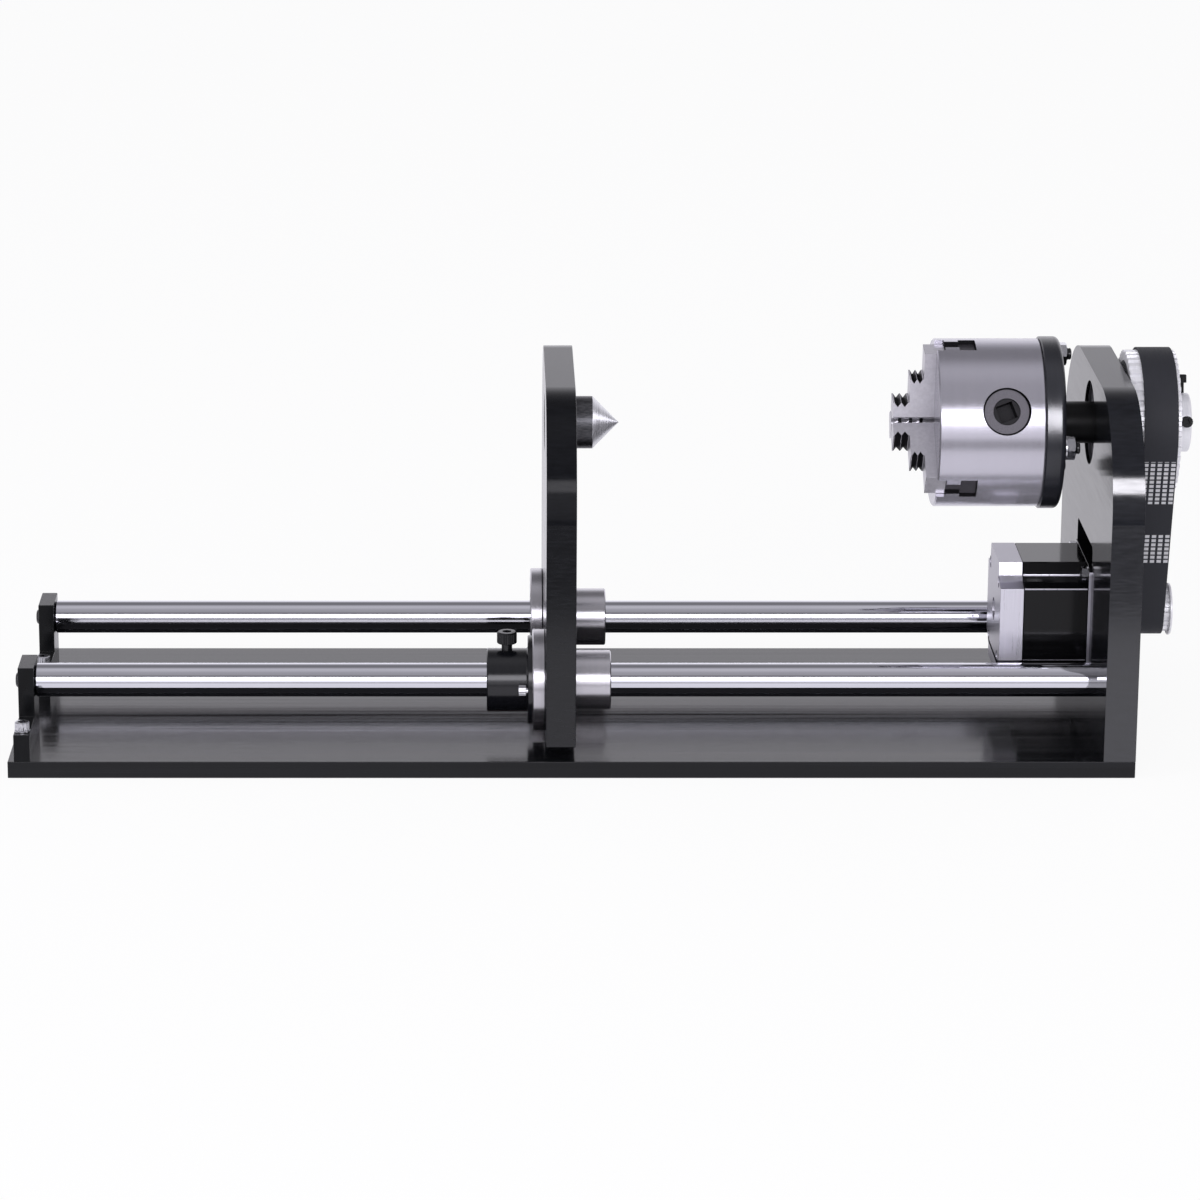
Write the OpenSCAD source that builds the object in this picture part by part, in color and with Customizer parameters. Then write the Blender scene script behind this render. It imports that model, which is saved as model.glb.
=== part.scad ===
// Rotary axis for a CNC table: chuck headstock, belt drive and sliding tailstock on two rails.
// X runs along the rails towards the chuck, Y to the back and Z up.
// The origin is the centre of the underside of the base plate.

/* [Base] */
// Length of the base plate along X
base_l = 526; // [500:1:640]
// Width of the base plate along Y
base_w = 188; // [184:1:230]
// Thickness of the base plate
base_t = 8; // [6:0.5:14]

/* [Rails] */
// Diameter of a guide rail
rail_d = 16; // [14:0.5:17]
// Distance from a long side of the base plate to a rail axis
rail_inset = 40; // [38:0.5:44]
// Height of the rail axes above the base plate
rail_h = 28; // [27:0.5:34]
// Depth that a rail enters the headstock plate
rail_seat = 8; // [5:0.5:10]

/* [End posts] */
// Thickness of a post along X
post_t = 7.5; // [6:0.5:12]
// Width of a post along Y
post_w = 23; // [20:0.5:28]
// Height of a post above the base plate
post_h = 37; // [36.5:0.5:48]
// Distance from the end of the base plate to a post
post_inset = 3; // [2.5:0.5:12]
// Height of the foot of a post
foot_h = 13; // [10:0.5:18]
// Distance from the end of a foot to its screw
foot_screw_inset = 6.5; // [5.5:0.5:12]

/* [Headstock] */
// Thickness of the headstock plate
head_t = 15; // [15:0.5:22]
// Height of the motor axis above the base plate
motor_h = 47.5; // [45.5:0.5:54]
// Height of a plate above the spindle axis
plate_rise = 27; // [26:0.5:40]
// Radius of the top corners of both plates
plate_corner_r = 53; // [20:0.5:56]
// Distance from the motor axis up to the spindle axis
belt_centres = 92.5; // [88:0.5:104]
// Depth of the motor pocket in the left face
pocket_d = 8; // [5:0.5:10]
// Free height in the pocket above the motor, for tensioning the belt
pocket_rise = 10; // [6:0.5:12]
// Free height in the pocket below the motor
pocket_drop = 3; // [1:0.5:5]
// Free width in the pocket on each side of the motor
pocket_side = 0.8; // [0.5:0.1:3]
// Radius of the pocket corners
pocket_r = 3; // [1:0.5:6]

/* [Spindle] */
// Outer diameter of the spindle tube
spindle_d = 20; // [18:0.5:21]
// Bore of the spindle tube
spindle_bore = 12; // [8:0.5:14]
// Gap between the chuck backplate and the headstock plate
spindle_neck = 15.5; // [13:0.5:30]
// Outer diameter of the spindle bearing
bearing_d = 42; // [40:0.5:44]
// Width of the spindle bearing
bearing_w = 12; // [9:0.5:13]
// Width of the shoulder that holds the spindle bearing
bearing_lip = 1; // [0.5:0.25:1.5]

/* [Chuck] */
// Diameter of the chuck body
chuck_d = 80; // [78:0.5:90]
// Length of the chuck body
chuck_l = 50; // [48:0.5:60]
// Bore through the chuck
chuck_bore = 16; // [12:0.5:16.5]
// Turn of the first pinion above the front horizontal, in degrees
chuck_phase = 21; // [0:1:60]
// Diameter of the backplate
backplate_d = 82; // [80:0.5:100]
// Thickness of the backplate
backplate_t = 9.5; // [8:0.5:14]
// Rounding of the rear edge of the backplate
backplate_r = 2.5; // [0.5:0.5:4]
// Diameter of the register that centres the chuck
register_d = 55; // [53:0.5:57]
// Depth of the register
register_l = 2.5; // [1.5:0.5:3]
// Radius of the circle of chuck studs
stud_circle_r = 33; // [32:0.5:34]
// Diameter of a chuck stud
stud_d = 6; // [4:0.5:7]
// Turn of the first stud above the front horizontal, in degrees
stud_phase = -8; // [-12:1:-4]
// Depth of a stud in the chuck body
stud_depth = 10; // [8:0.5:12]
// Size of a chuck nut across its flats
nut_flats = 10; // [8:0.5:11]
// Thickness of a chuck nut
nut_t = 4; // [3:0.5:6]
// Depth of the pinion axis behind the chuck face
pinion_depth = 31.6; // [31:0.1:33]
// Diameter of a pinion where it shows
pinion_d = 22; // [18:0.5:22]
// Diameter of the gear end of a pinion
pinion_gear_d = 16; // [12:0.5:16]
// Round mouth of the key socket
key_mouth_d = 12.6; // [11.5:0.1:14]
// Square key socket, across its flats
key_square = 8; // [6:0.25:8]
// Depth of the key socket
key_depth = 12; // [8:0.5:15]

/* [Jaws] */
// Width of a jaw
jaw_w = 12.4; // [10:0.1:14]
// Width of the neck of a jaw
jaw_neck_w = 6.8; // [5:0.1:8]
// Depth of the wide mouth of a jaw slot
slot_mouth = 4.4; // [3:0.1:6]
// Depth where the neck of a jaw slot ends
slot_neck = 11; // [9:0.1:13]
// Depth of a jaw slot
slot_depth = 19; // [17:0.1:19.4]
// Height of the inner jaw step above the chuck face
jaw_h1 = 19.4; // [17:0.1:24]
// Height of the middle jaw step
jaw_h2 = 11.8; // [9:0.1:14]
// Height of the outer jaw step
jaw_h3 = 5.3; // [3:0.1:7]
// Length of the inner jaw step
jaw_r1 = 11; // [9:0.1:13]
// Length to the end of the middle jaw step
jaw_r2 = 23; // [20:0.1:26]
// Length of a whole jaw
jaw_r3 = 36; // [32:0.1:38]
// Distance of the jaws from the axis at rest
jaw_open = 1.5; // [1.3:0.1:4]
// Pitch of the scroll thread
scroll_pitch = 5; // [4:0.1:6]

/* [Belt drive] */
// Pitch of the belt teeth
belt_pitch = 5; // [4.9:0.02:5.1]
// Number of teeth on the spindle pulley
spindle_teeth = 44; // [42:1:46]
// Number of teeth on the drive pulley
drive_teeth = 14; // [13:1:15]
// Width of the belt
belt_w = 16; // [10:0.5:17]
// Distance from the left end of the spindle pulley to the belt
belt_inset = 5.6; // [4:0.1:6]
// Thickness of the belt behind its teeth
belt_back = 1; // [0.8:0.1:1.6]
// Height of a belt tooth
belt_tooth_h = 1.2; // [0.8:0.1:1.4]
// Toothed width of the spindle pulley
pulley_w = 23.3; // [22:0.1:26]
// Diameter of the hub of the spindle pulley
hub_d = 28; // [25:0.5:32]
// Length of the hub of the spindle pulley
hub_l = 7.7; // [6:0.1:12]
// Gap between the headstock plate and the pulleys
pulley_gap = 1; // [0.5:0.1:3]
// Turn of the first set screw above the front horizontal, in degrees
set_screw_phase = 14; // [0:1:40]
// Diameter of the flanges of the drive pulley
drive_flange_d = 25; // [25:0.5:30]
// Thickness of a drive pulley flange
drive_flange_t = 1.3; // [0.8:0.1:2]
// Toothed width of the drive pulley
drive_w = 19.2; // [17.5:0.1:22]

/* [Motor] */
// Width and height of the motor
motor_w = 56.4; // [54:0.1:58]
// Length of the motor
motor_l = 51; // [46:0.5:80]
// Length of the rear cap of the motor
motor_cap_l = 11.2; // [8:0.1:14]
// Length of the front cap of the motor
motor_front_l = 9.2; // [8.5:0.1:14]
// Width of a cut corner of the motor
motor_corner = 10.5; // [10.1:0.1:13]
// Distance from a side of the motor to its mounting holes
motor_hole_inset = 4.65; // [4.4:0.05:4.8]
// Diameter of the motor pilot
pilot_d = 38.1; // [36:0.1:39]
// Diameter of the motor shaft
motor_shaft_d = 6.35; // [5:0.05:8]
// Length of the shaft outside the motor
motor_shaft_l = 24; // [20:0.5:30]

/* [Tailstock] */
// Thickness of the tailstock plate
tail_t = 14; // [13:0.5:18]
// Gap between the base plate and the tailstock plate
tail_gap = 7; // [3:0.5:10]
// Place of the left face of the tailstock plate along X
tail_x = -12; // [-100:1:60]
// Outer diameter of a linear bushing
bushing_d = 28; // [26:0.5:30]
// Length of a linear bushing
bushing_l = 37; // [32:0.5:50]
// Diameter of a bushing flange
bushing_flange_d = 48; // [46:0.5:52]
// Thickness of a bushing flange
bushing_flange_t = 6; // [5.5:0.5:8]
// Diameter of the circle of flange screws
flange_circle_d = 38; // [37:0.5:39.5]
// Diameter of the centre
centre_d = 25; // [22:0.5:30]
// Length of the straight part of the centre
centre_l = 8.5; // [5:0.5:15]
// Diameter of the shank of the centre
centre_shank_d = 12; // [10:0.5:13]
// Outer diameter of the bearing of the centre
centre_bearing_d = 28; // [27:0.5:32]
// Width of the bearing of the centre
centre_bearing_w = 8; // [7:0.5:10]

/* [Lock collar] */
// Diameter of the lock collar
collar_d = 30; // [28:0.5:32]
// Length of the lock collar with its flange
collar_l = 21.5; // [18:0.5:26]
// Diameter of the collar flange
collar_flange_d = 42; // [40:0.5:46]
// Thickness of the collar flange
collar_flange_t = 2.2; // [1.5:0.1:4]
// Diameter of the lock screw
lock_screw_d = 5; // [4:0.5:6]
// Diameter of the head of the lock screw
lock_head_d = 9.4; // [8.5:0.1:11]
// Height of the head of the lock screw
lock_head_h = 5.6; // [4:0.1:7]
// Bare length of the lock screw above the collar
lock_screw_out = 3.2; // [1:0.1:6]

/* [Hidden] */
$fn = 64;

// Clearances shared by mating pieces, and small sizes of single pieces
run_fit = 0.05;
drive_edge = 0.4;
centre_gap = 0.4;
centre_lip_t = 2;
lock_inset = 9.5;
case_screw_inset = 9.7;
rotor_bore = 31;
cap_edge = 0.5;
cap_wall = 4;
notch_side = 1.5;
notch_down = 6.5;
rear_recess_d = 11;
rear_recess_l = 2;
pilot_l = 1.6;
front_corner_r = 4;
grommet_d = 7;
grommet_flange_d = 9;
grommet_flange_t = 2.5;
grommet_l = 4;
grommet_bore = 4.5;
grommet_floor = 1;
drive_hub_d = 17;
pulley_recess = 3;
pulley_rim = 5;
spacer_rim = 3;
air_gap = 0.3;
pilot_play = 1;
screw_play = 0.4;
slot_travel = 5;
slot_rise = 1;
race_out = 0.136;
race_in = 0.145;
slide_gap = 0.2;
cut = 0.01;

black = [0.09, 0.09, 0.10];
chrome = [0.82, 0.82, 0.84];
steel = [0.66, 0.66, 0.68];
aluminium = [0.80, 0.80, 0.81];
oxide = [0.13, 0.13, 0.13];

// Screws
stud_out = 2.4;
foot_screw_d = 4;
foot_head_d = 7;
foot_head_h = 4;
washer_t = 0.8;
washer_rim = 1.6;
rail_screw_d = 4;
rail_head_d = 7.6;
rail_head_h = 2;
rail_screw_l = 16;
base_screw_d = 5;
base_head_d = 9.6;
base_screw_depth = 12;
head_screw_inset = 26;
set_screw_d = 3;
set_head_d = 5.5;
set_head_h = 4;
set_screw_out = 4.8;
set_screw_inset = 4.2;
flange_screw_d = 4;
flange_head_d = 7;
flange_head_h = 4;
flange_screw_l = 10;
collar_screw_d = 3;
collar_head_d = 5.6;
collar_head_h = 3.8;
collar_screw_stand = 0.8;
collar_screw_r = collar_d / 2 + collar_head_d / 2 + air_gap;
end_screw_d = 5;
end_head_d = 9;
end_head_h = 2.5;
end_washer_t = 1.2;
end_screw_l = 10;
mount_screw_d = 4;
mount_head_d = 7;
mount_head_h = 4;
mount_nut_flats = 7;
mount_nut_t = 3.2;
mount_screw_end = 1;
case_screw_d = 3;
case_head_d = 5.5;
case_head_h = 1.6;
case_seat = 2.2;
case_screw_l = motor_l - case_seat - 3;
grub_d = 3;
grub_key_d = 1.7;
grub_inset = 0.3;

// Heights and places that follow from the driving sizes
rail_z = base_t + rail_h;
rail_y = base_w / 2 - rail_inset;
motor_z = base_t + motor_h;
spindle_z = motor_z + belt_centres;
plate_top = spindle_z + plate_rise;
head_x = base_l / 2 - head_t;
head_right = base_l / 2;
post_x = -base_l / 2 + post_inset;
post_right = post_x + post_t;
foot_l = base_w / 2 - rail_y - post_w / 2;
foot_screw_y = -post_w / 2 - foot_l + foot_screw_inset;
backplate_x = head_x - spindle_neck - backplate_t;
chuck_x = backplate_x - chuck_l;
pinion_x = chuck_x + pinion_depth;
pulley_x = head_right + pulley_gap;
pulley_right = pulley_x + pulley_w;
hub_right = pulley_right + hub_l;
belt_x = pulley_x + belt_inset;
motor_front = head_x + pocket_d;
motor_rear = motor_front - motor_l;
drive_x = belt_x - drive_edge;
drive_right = drive_x + drive_w;
grub_x = (pulley_x + drive_x - drive_flange_t) / 2;
set_screw_x = pulley_right + set_screw_inset;
case_screw_at = motor_w / 2 - case_screw_inset;
motor_flat = motor_w - 2 * motor_corner;
motor_hole_gap = motor_w - 2 * motor_hole_inset;
head_screw_y = base_w / 2 - head_screw_inset;
flange_left = tail_x - bushing_flange_t;
tail_right = tail_x + tail_t;
collar_x = flange_left - collar_l;
head_shoulder = head_t - bearing_w;
flange_screw_r = flange_circle_d / 2;
seal_d = rail_d + 8;
seal_l = 1.5;
lock_x = collar_x + lock_inset;
centre_x = tail_right + centre_gap;
centre_lip_d = centre_bearing_d - 6;
shank_pocket = tail_right - centre_bearing_w - centre_lip_t;

// Chuck internals
scroll_inset = 0.4;
scroll_hub_t = 4.5;
boss_t = 1.5;
cover_gap = 0.1;
scroll_r = register_d / 2 - scroll_inset;
cavity_r = scroll_r + air_gap;
boss_r = chuck_bore / 2 + boss_t;
scroll_hub_r = boss_r + scroll_hub_t;
ridge_h = 2;
scroll_top = slot_depth + air_gap;
scroll_back = pinion_depth - pinion_gear_d / 2 - air_gap;
cover_t = 3.2;
cover_back = chuck_l - register_l - cover_gap;
cover_front = cover_back - cover_t;
pinion_end_r = sqrt(pow(chuck_d / 2, 2) - pow(pinion_d / 2, 2)) - slide_gap;
pinion_gear_r = cavity_r - scroll_inset;
pinion_teeth = 12;

// Belt drive
function tip_r(teeth) = teeth * belt_pitch / (2 * PI) - 0.415;
spindle_tip_r = tip_r(spindle_teeth);
drive_tip_r = tip_r(drive_teeth);
belt_in_big = spindle_tip_r + air_gap;
belt_in_small = drive_tip_r + air_gap;
belt_lean = asin((belt_in_big - belt_in_small) / belt_centres);
belt_span = belt_centres * cos(belt_lean);
belt_tooth_w = 0.52 * belt_pitch;
// Length of the belt at each pulley where its teeth lie in the pulley
function belt_margin(r) = sqrt(pow(r, 2) - pow(r - belt_tooth_h, 2)) + air_gap;
belt_margin_big = belt_margin(belt_in_big);
belt_margin_small = belt_margin(belt_in_small);

function arc_points(cx, cy, r, from, to, steps) =
    [for (i = [0:steps]) let (a = from + (to - from) * i / steps) [cx + r * cos(a), cy + r * sin(a)]];

// A rod along X
module rod_x(x, l, d, y = 0, z = 0) {
    translate([x, y, z]) rotate([0, 90, 0]) cylinder(h = l, d = d);
}

// A ring along X
module ring_x(x, l, outer, inner, y = 0, z = 0) {
    difference() {
        rod_x(x, l, outer, y, z);
        rod_x(x - cut, l + 2 * cut, inner, y, z);
    }
}

// A turned piece along X, from points of [place, radius]
module turned_x(points, y = 0, z = 0) {
    translate([0, y, z]) rotate([0, 90, 0]) rotate_extrude() polygon([for (p = points) [p[1], p[0]]]);
}

// A block given by its lowest corner and its size
module block(corner, size) {
    translate(corner) cube(size);
}

// Places children on the spindle axis, turned so that -Y points out at an angle above the front
module on_spindle(angle) {
    translate([0, 0, spindle_z]) rotate([-angle, 0, 0]) children();
}

// The outline that both upright plates share
module upright_plate(x, t, bottom) {
    shoulder = plate_top - plate_corner_r;
    side = base_w / 2 - plate_corner_r;
    block([x, -base_w / 2, bottom], [t, base_w, shoulder - bottom]);
    block([x, -side, bottom], [t, 2 * side, plate_top - bottom]);
    for (s = [-1, 1]) rod_x(x, t, 2 * plate_corner_r, s * side, shoulder);
}

// A vertical slot through a plate, from X = x
module slot_x(x, t, d, travel, y, z) {
    rod_x(x, t, d, y, z - travel / 2);
    rod_x(x, t, d, y, z + travel / 2);
    block([x, y - d / 2, z - travel / 2], [t, d, travel]);
}

// A socket head screw that points down from Z = 0, with its head above
module cap_screw(d, head_d, head_h, l) {
    difference() {
        cylinder(h = head_h, d = head_d);
        translate([0, 0, head_h * 0.45]) cylinder(h = head_h, d = d / cos(30), $fn = 6);
    }
    translate([0, 0, -l]) cylinder(h = l, d = d);
}

module ball_race_outer(x, od, id, w, z) {
    race = od / 2 - (od - id) * race_out;
    ring_x(x, w, od, 2 * race, 0, z);
}

module ball_race_inner(x, od, id, w, z) {
    race = id / 2 + (od - id) * race_in;
    ring_x(x, w, 2 * race, id, 0, z);
}

module ball_race_balls(x, od, id, w, z, count) {
    low = id / 2 + (od - id) * race_in;
    high = od / 2 - (od - id) * race_out;
    ball_r = (high - low) / 2 - air_gap;
    pitch_r = (high + low) / 2;
    translate([x + w / 2, 0, z]) {
        for (i = [0:count - 1])
            rotate([i * 360 / count, 0, 0]) translate([0, pitch_r, 0]) sphere(r = ball_r);
        ring_x(-w / 8, w / 4, 2 * pitch_r + ball_r, 2 * pitch_r - ball_r);
    }
}

// Places of the screws from below into the headstock plate
module head_screw_places() {
    for (y = [-head_screw_y, 0, head_screw_y]) translate([head_x + head_t / 2, y, 0]) children();
}

// Places of the screws from below into the posts
module post_screw_places() {
    for (y = [-rail_y, rail_y]) translate([post_x + post_t / 2, y, 0]) children();
}

module base_screw_places() {
    head_screw_places() children();
    post_screw_places() children();
}

module countersunk_screw(d, head_d, l) {
    head = (head_d - d) / 2;
    difference() {
        cylinder(h = head, d1 = head_d, d2 = d);
        translate([0, 0, -cut]) cylinder(h = head * 0.6, d = d * 0.62, $fn = 6);
    }
    translate([0, 0, head]) cylinder(h = l - head, d = d);
}

module base_plate() {
    color(black) difference() {
        block([-base_l / 2, -base_w / 2, 0], [base_l, base_w, base_t]);
        base_screw_places() {
            translate([0, 0, -cut]) cylinder(h = base_t + 2 * cut, d = base_screw_d);
            cylinder(h = (base_head_d - base_screw_d) / 2, d1 = base_head_d, d2 = base_screw_d);
        }
        for (s = [-1, 1]) translate([post_x + post_t / 2, s * rail_y + foot_screw_y, base_t / 2])
            cylinder(h = base_t, d = foot_screw_d);
    }
}

module base_screws() {
    color(oxide) base_screw_places() countersunk_screw(base_screw_d, base_head_d, base_t + base_screw_depth);
}

module motor_pocket() {
    half = motor_w / 2 + pocket_side;
    low = motor_z - motor_w / 2 - pocket_drop;
    high = motor_z + motor_w / 2 + pocket_rise;
    x = head_x - cut;
    t = pocket_d + cut;
    block([x, -half, low + pocket_r], [t, 2 * half, high - low - 2 * pocket_r]);
    block([x, -half + pocket_r, low], [t, 2 * half - 2 * pocket_r, high - low]);
    for (y = [-half + pocket_r, half - pocket_r], z = [low + pocket_r, high - pocket_r])
        rod_x(x, t, 2 * pocket_r, y, z);
}

module motor_hole_places() {
    for (sy = [-1, 1], sz = [-1, 1])
        translate([0, sy * motor_hole_gap / 2, motor_z + sz * motor_hole_gap / 2]) children();
}

module headstock_plate() {
    color(black) difference() {
        upright_plate(head_x, head_t, base_t);
        rod_x(head_x - cut, head_t + 2 * cut, bearing_d - 2 * bearing_lip, 0, spindle_z);
        rod_x(head_x + head_shoulder, bearing_w + cut, bearing_d, 0, spindle_z);
        motor_pocket();
        slot_x(head_x, head_t + cut, pilot_d + pilot_play, slot_travel, 0, motor_z + slot_rise);
        motor_hole_places()
            slot_x(head_x, head_t + cut, mount_screw_d + screw_play, slot_travel, 0, slot_rise);
        for (y = [-rail_y, rail_y]) {
            rod_x(head_x - cut, rail_seat + cut, rail_d, y, rail_z);
            rod_x(head_x, head_t + cut, rail_screw_d, y, rail_z);
        }
        head_screw_places() cylinder(h = base_t + base_screw_depth, d = base_screw_d);
    }
}

module rail(y) {
    color(chrome) difference() {
        rod_x(post_right, head_x + rail_seat - post_right, rail_d, y, rail_z);
        rod_x(post_right - cut, rail_screw_l, rail_screw_d, y, rail_z);
        rod_x(head_x + rail_seat - rail_screw_l, rail_screw_l + cut, rail_screw_d, y, rail_z);
    }
}

module end_post(y) {
    color(black) difference() {
        union() {
            block([post_x, y - post_w / 2, base_t], [post_t, post_w, post_h]);
            block([post_x, y - post_w / 2 - foot_l, base_t], [post_t, foot_l + post_w / 2, foot_h]);
        }
        rod_x(post_x - cut, post_t + 2 * cut, rail_screw_d, y, rail_z);
        post_screw_places() cylinder(h = base_t + base_screw_depth, d = base_screw_d);
        translate([post_x + post_t / 2, y + foot_screw_y, 0])
            cylinder(h = base_t + foot_h + cut, d = foot_screw_d);
    }
}

module foot_screws() {
    color(chrome) for (s = [-1, 1])
        translate([post_x + post_t / 2, s * rail_y + foot_screw_y, base_t + foot_h + washer_t])
            cap_screw(foot_screw_d, foot_head_d, foot_head_h, foot_h + washer_t + base_t / 2);
}

module foot_washers() {
    color(chrome) for (s = [-1, 1])
        translate([post_x + post_t / 2, s * rail_y + foot_screw_y, base_t + foot_h]) difference() {
            cylinder(h = washer_t, d = post_t);
            translate([0, 0, -cut]) cylinder(h = washer_t + 2 * cut, d = foot_screw_d);
        }
}

// A low round head screw along X, with its head to the left of X = 0
module button_screw_x(d, head_d, head_h, l) {
    difference() {
        turned_x(concat([[0, 0]], arc_points(0, head_d / 2 - head_h, head_h, 90, 180, 6), [[-head_h, 0]]));
        translate([-head_h - cut, 0, 0]) rotate([0, 90, 0]) cylinder(h = head_h * 0.7, d = d * 0.7, $fn = 6);
    }
    rod_x(0, l, d);
}

module rail_left_screws() {
    color(oxide) for (y = [-rail_y, rail_y]) translate([post_x, y, rail_z])
        button_screw_x(rail_screw_d, rail_head_d, rail_head_h, post_t + rail_screw_l - cut);
}

module rail_right_screws() {
    reach = head_t - rail_seat + rail_screw_l - cut;
    color(oxide) for (y = [-rail_y, rail_y]) translate([head_right, y, rail_z]) rotate([0, 0, 180])
        button_screw_x(rail_screw_d, rail_head_d, rail_head_h, reach);
}

module spindle_bearing_outer() {
    color(steel)
        ball_race_outer(head_x + head_shoulder, bearing_d, spindle_d, bearing_w, spindle_z);
}

module spindle_bearing_inner() {
    color(steel)
        ball_race_inner(head_x + head_shoulder, bearing_d, spindle_d, bearing_w, spindle_z);
}

module spindle_bearing_balls() {
    color(chrome)
        ball_race_balls(head_x + head_shoulder, bearing_d, spindle_d, bearing_w, spindle_z, 9);
}

module spindle_bearing_shields() {
    low = spindle_d / 2 + (bearing_d - spindle_d) * race_in + air_gap;
    high = bearing_d / 2 - (bearing_d - spindle_d) * race_out;
    shield_t = 0.8;
    inset = 0.4;
    color(steel) for (x = [inset, bearing_w - inset - shield_t])
        ring_x(head_x + head_shoulder + x, shield_t, 2 * high, 2 * low, 0, spindle_z);
}

// A length of the motor, a square whose corners are cut in by a step
module motor_section(l, side, down) {
    h = motor_w / 2;
    f = motor_flat / 2;
    corner = [[f, h], [f + side, h - down], [h - down, f + side], [h, f]];
    points = concat(
        corner,
        [for (i = [3:-1:0]) [corner[i][0], -corner[i][1]]],
        [for (p = corner) [-p[0], -p[1]]],
        [for (i = [3:-1:0]) [-corner[i][0], corner[i][1]]]
    );
    rotate([90, 0, 90]) linear_extrude(l) polygon(points);
}

module case_screw_places() {
    for (sy = [-1, 1], sz = [-1, 1])
        translate([motor_rear, sy * case_screw_at, motor_z + sz * case_screw_at]) children();
}

module motor_rear_cap() {
    color(aluminium) difference() {
        translate([motor_rear, 0, motor_z]) motor_section(motor_cap_l, cap_edge, cap_edge);
        rod_x(motor_rear - cut, rear_recess_l, rear_recess_d, 0, motor_z);
        rod_x(motor_rear - cut, motor_cap_l + 2 * cut, motor_shaft_d + 2 * run_fit, 0, motor_z);
        rod_x(motor_rear + cap_wall, motor_cap_l, rotor_bore, 0, motor_z);
        case_screw_places() {
            rod_x(-cut, motor_cap_l + 2 * cut, case_screw_d);
            rod_x(-cut, case_seat + cut, case_head_d + screw_play);
        }
    }
}

module motor_stack() {
    x = motor_rear + motor_cap_l;
    l = motor_l - motor_cap_l - motor_front_l;
    color(black) difference() {
        translate([x, 0, motor_z]) motor_section(l, notch_side, notch_down);
        rod_x(x - cut, l + 2 * cut, rotor_bore, 0, motor_z);
        case_screw_places() rod_x(0, motor_l, case_screw_d);
    }
}

module motor_front_cap() {
    x = motor_front - motor_front_l;
    r = front_corner_r;
    half = motor_w / 2;
    color(aluminium) difference() {
        union() {
            block([x, -half + r, motor_z - half], [motor_front_l, motor_w - 2 * r, motor_w]);
            block([x, -half, motor_z - half + r], [motor_front_l, motor_w, motor_w - 2 * r]);
            for (sy = [-1, 1], sz = [-1, 1])
                rod_x(x, motor_front_l, 2 * r, sy * (half - r), motor_z + sz * (half - r));
            rod_x(motor_front, pilot_l, pilot_d, 0, motor_z);
        }
        rod_x(x - cut, motor_front_l + 2 * pilot_l, motor_shaft_d + 2 * run_fit, 0, motor_z);
        rod_x(x - cut, motor_front_l - cap_wall, rotor_bore, 0, motor_z);
        motor_hole_places() rod_x(x - cut, motor_front_l + 2 * cut, mount_screw_d);
        case_screw_places() rod_x(0, case_seat + case_screw_l + cut, case_screw_d);
    }
}

module motor_case_screws() {
    color(chrome) case_screw_places() translate([case_seat, 0, 0])
        button_screw_x(case_screw_d, case_head_d, case_head_h, case_screw_l);
}

module motor_mount_screws() {
    l = head_t - pocket_d + motor_front_l + mount_nut_t + mount_screw_end;
    color(oxide) motor_hole_places() translate([head_right, 0, 0]) rotate([0, 90, 0])
        cap_screw(mount_screw_d, mount_head_d, mount_head_h, l);
}

module motor_mount_nuts() {
    x = motor_front - motor_front_l - mount_nut_t;
    color(chrome) motor_hole_places() difference() {
        translate([x, 0, 0]) rotate([0, 90, 0])
            cylinder(h = mount_nut_t, d = mount_nut_flats / cos(30), $fn = 6);
        rod_x(x - cut, mount_nut_t + 2 * cut, mount_screw_d);
    }
}

module motor_lead_grommet() {
    x = motor_rear + motor_cap_l / 2;
    color(oxide) translate([x, motor_w / 2, motor_z]) rotate([-90, 0, 0]) difference() {
        union() {
            cylinder(h = grommet_flange_t, d = grommet_flange_d);
            cylinder(h = grommet_l, d = grommet_d);
        }
        translate([0, 0, grommet_floor]) cylinder(h = grommet_l, d = grommet_bore);
    }
}

// A solid loop of belt around both pulleys
module belt_loop(r_big, r_small, x, w) {
    tilt = asin((r_big - r_small) / belt_centres);
    points = concat(
        arc_points(0, spindle_z, r_big, -tilt, 180 + tilt, 48),
        arc_points(0, motor_z, r_small, 180 + tilt, 360 - tilt, 24)
    );
    translate([x, 0, 0]) rotate([90, 0, 90]) linear_extrude(w) polygon(points);
}

module timing_belt() {
    straight = belt_span - belt_margin_big - belt_margin_small;
    teeth = floor((straight - belt_tooth_w) / belt_pitch) + 1;
    first = belt_margin_big + (straight - (teeth - 1) * belt_pitch) / 2;
    color(black) {
        difference() {
            belt_loop(belt_in_big + belt_back, belt_in_small + belt_back, belt_x, belt_w);
            belt_loop(belt_in_big, belt_in_small, belt_x - cut, belt_w + 2 * cut);
        }
        for (s = [0, 1]) mirror([0, s, 0])
            translate([belt_x, 0, spindle_z]) rotate([-belt_lean, 0, 0])
                for (i = [0:teeth - 1])
                    block([0, belt_in_big - belt_tooth_h, -first - i * belt_pitch - belt_tooth_w / 2],
                        [belt_w, belt_tooth_h + belt_back / 2, belt_tooth_w]);
    }
}

module spindle_tube() {
    x = backplate_x - register_l;
    color(black) difference() {
        rod_x(x, hub_right - x, spindle_d, 0, spindle_z);
        rod_x(x - cut, hub_right - x + 2 * cut, spindle_bore, 0, spindle_z);
    }
}

module stud_places() {
    for (i = [0:2]) on_spindle(stud_phase + i * 120) translate([0, -stud_circle_r, 0]) children();
}

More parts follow.
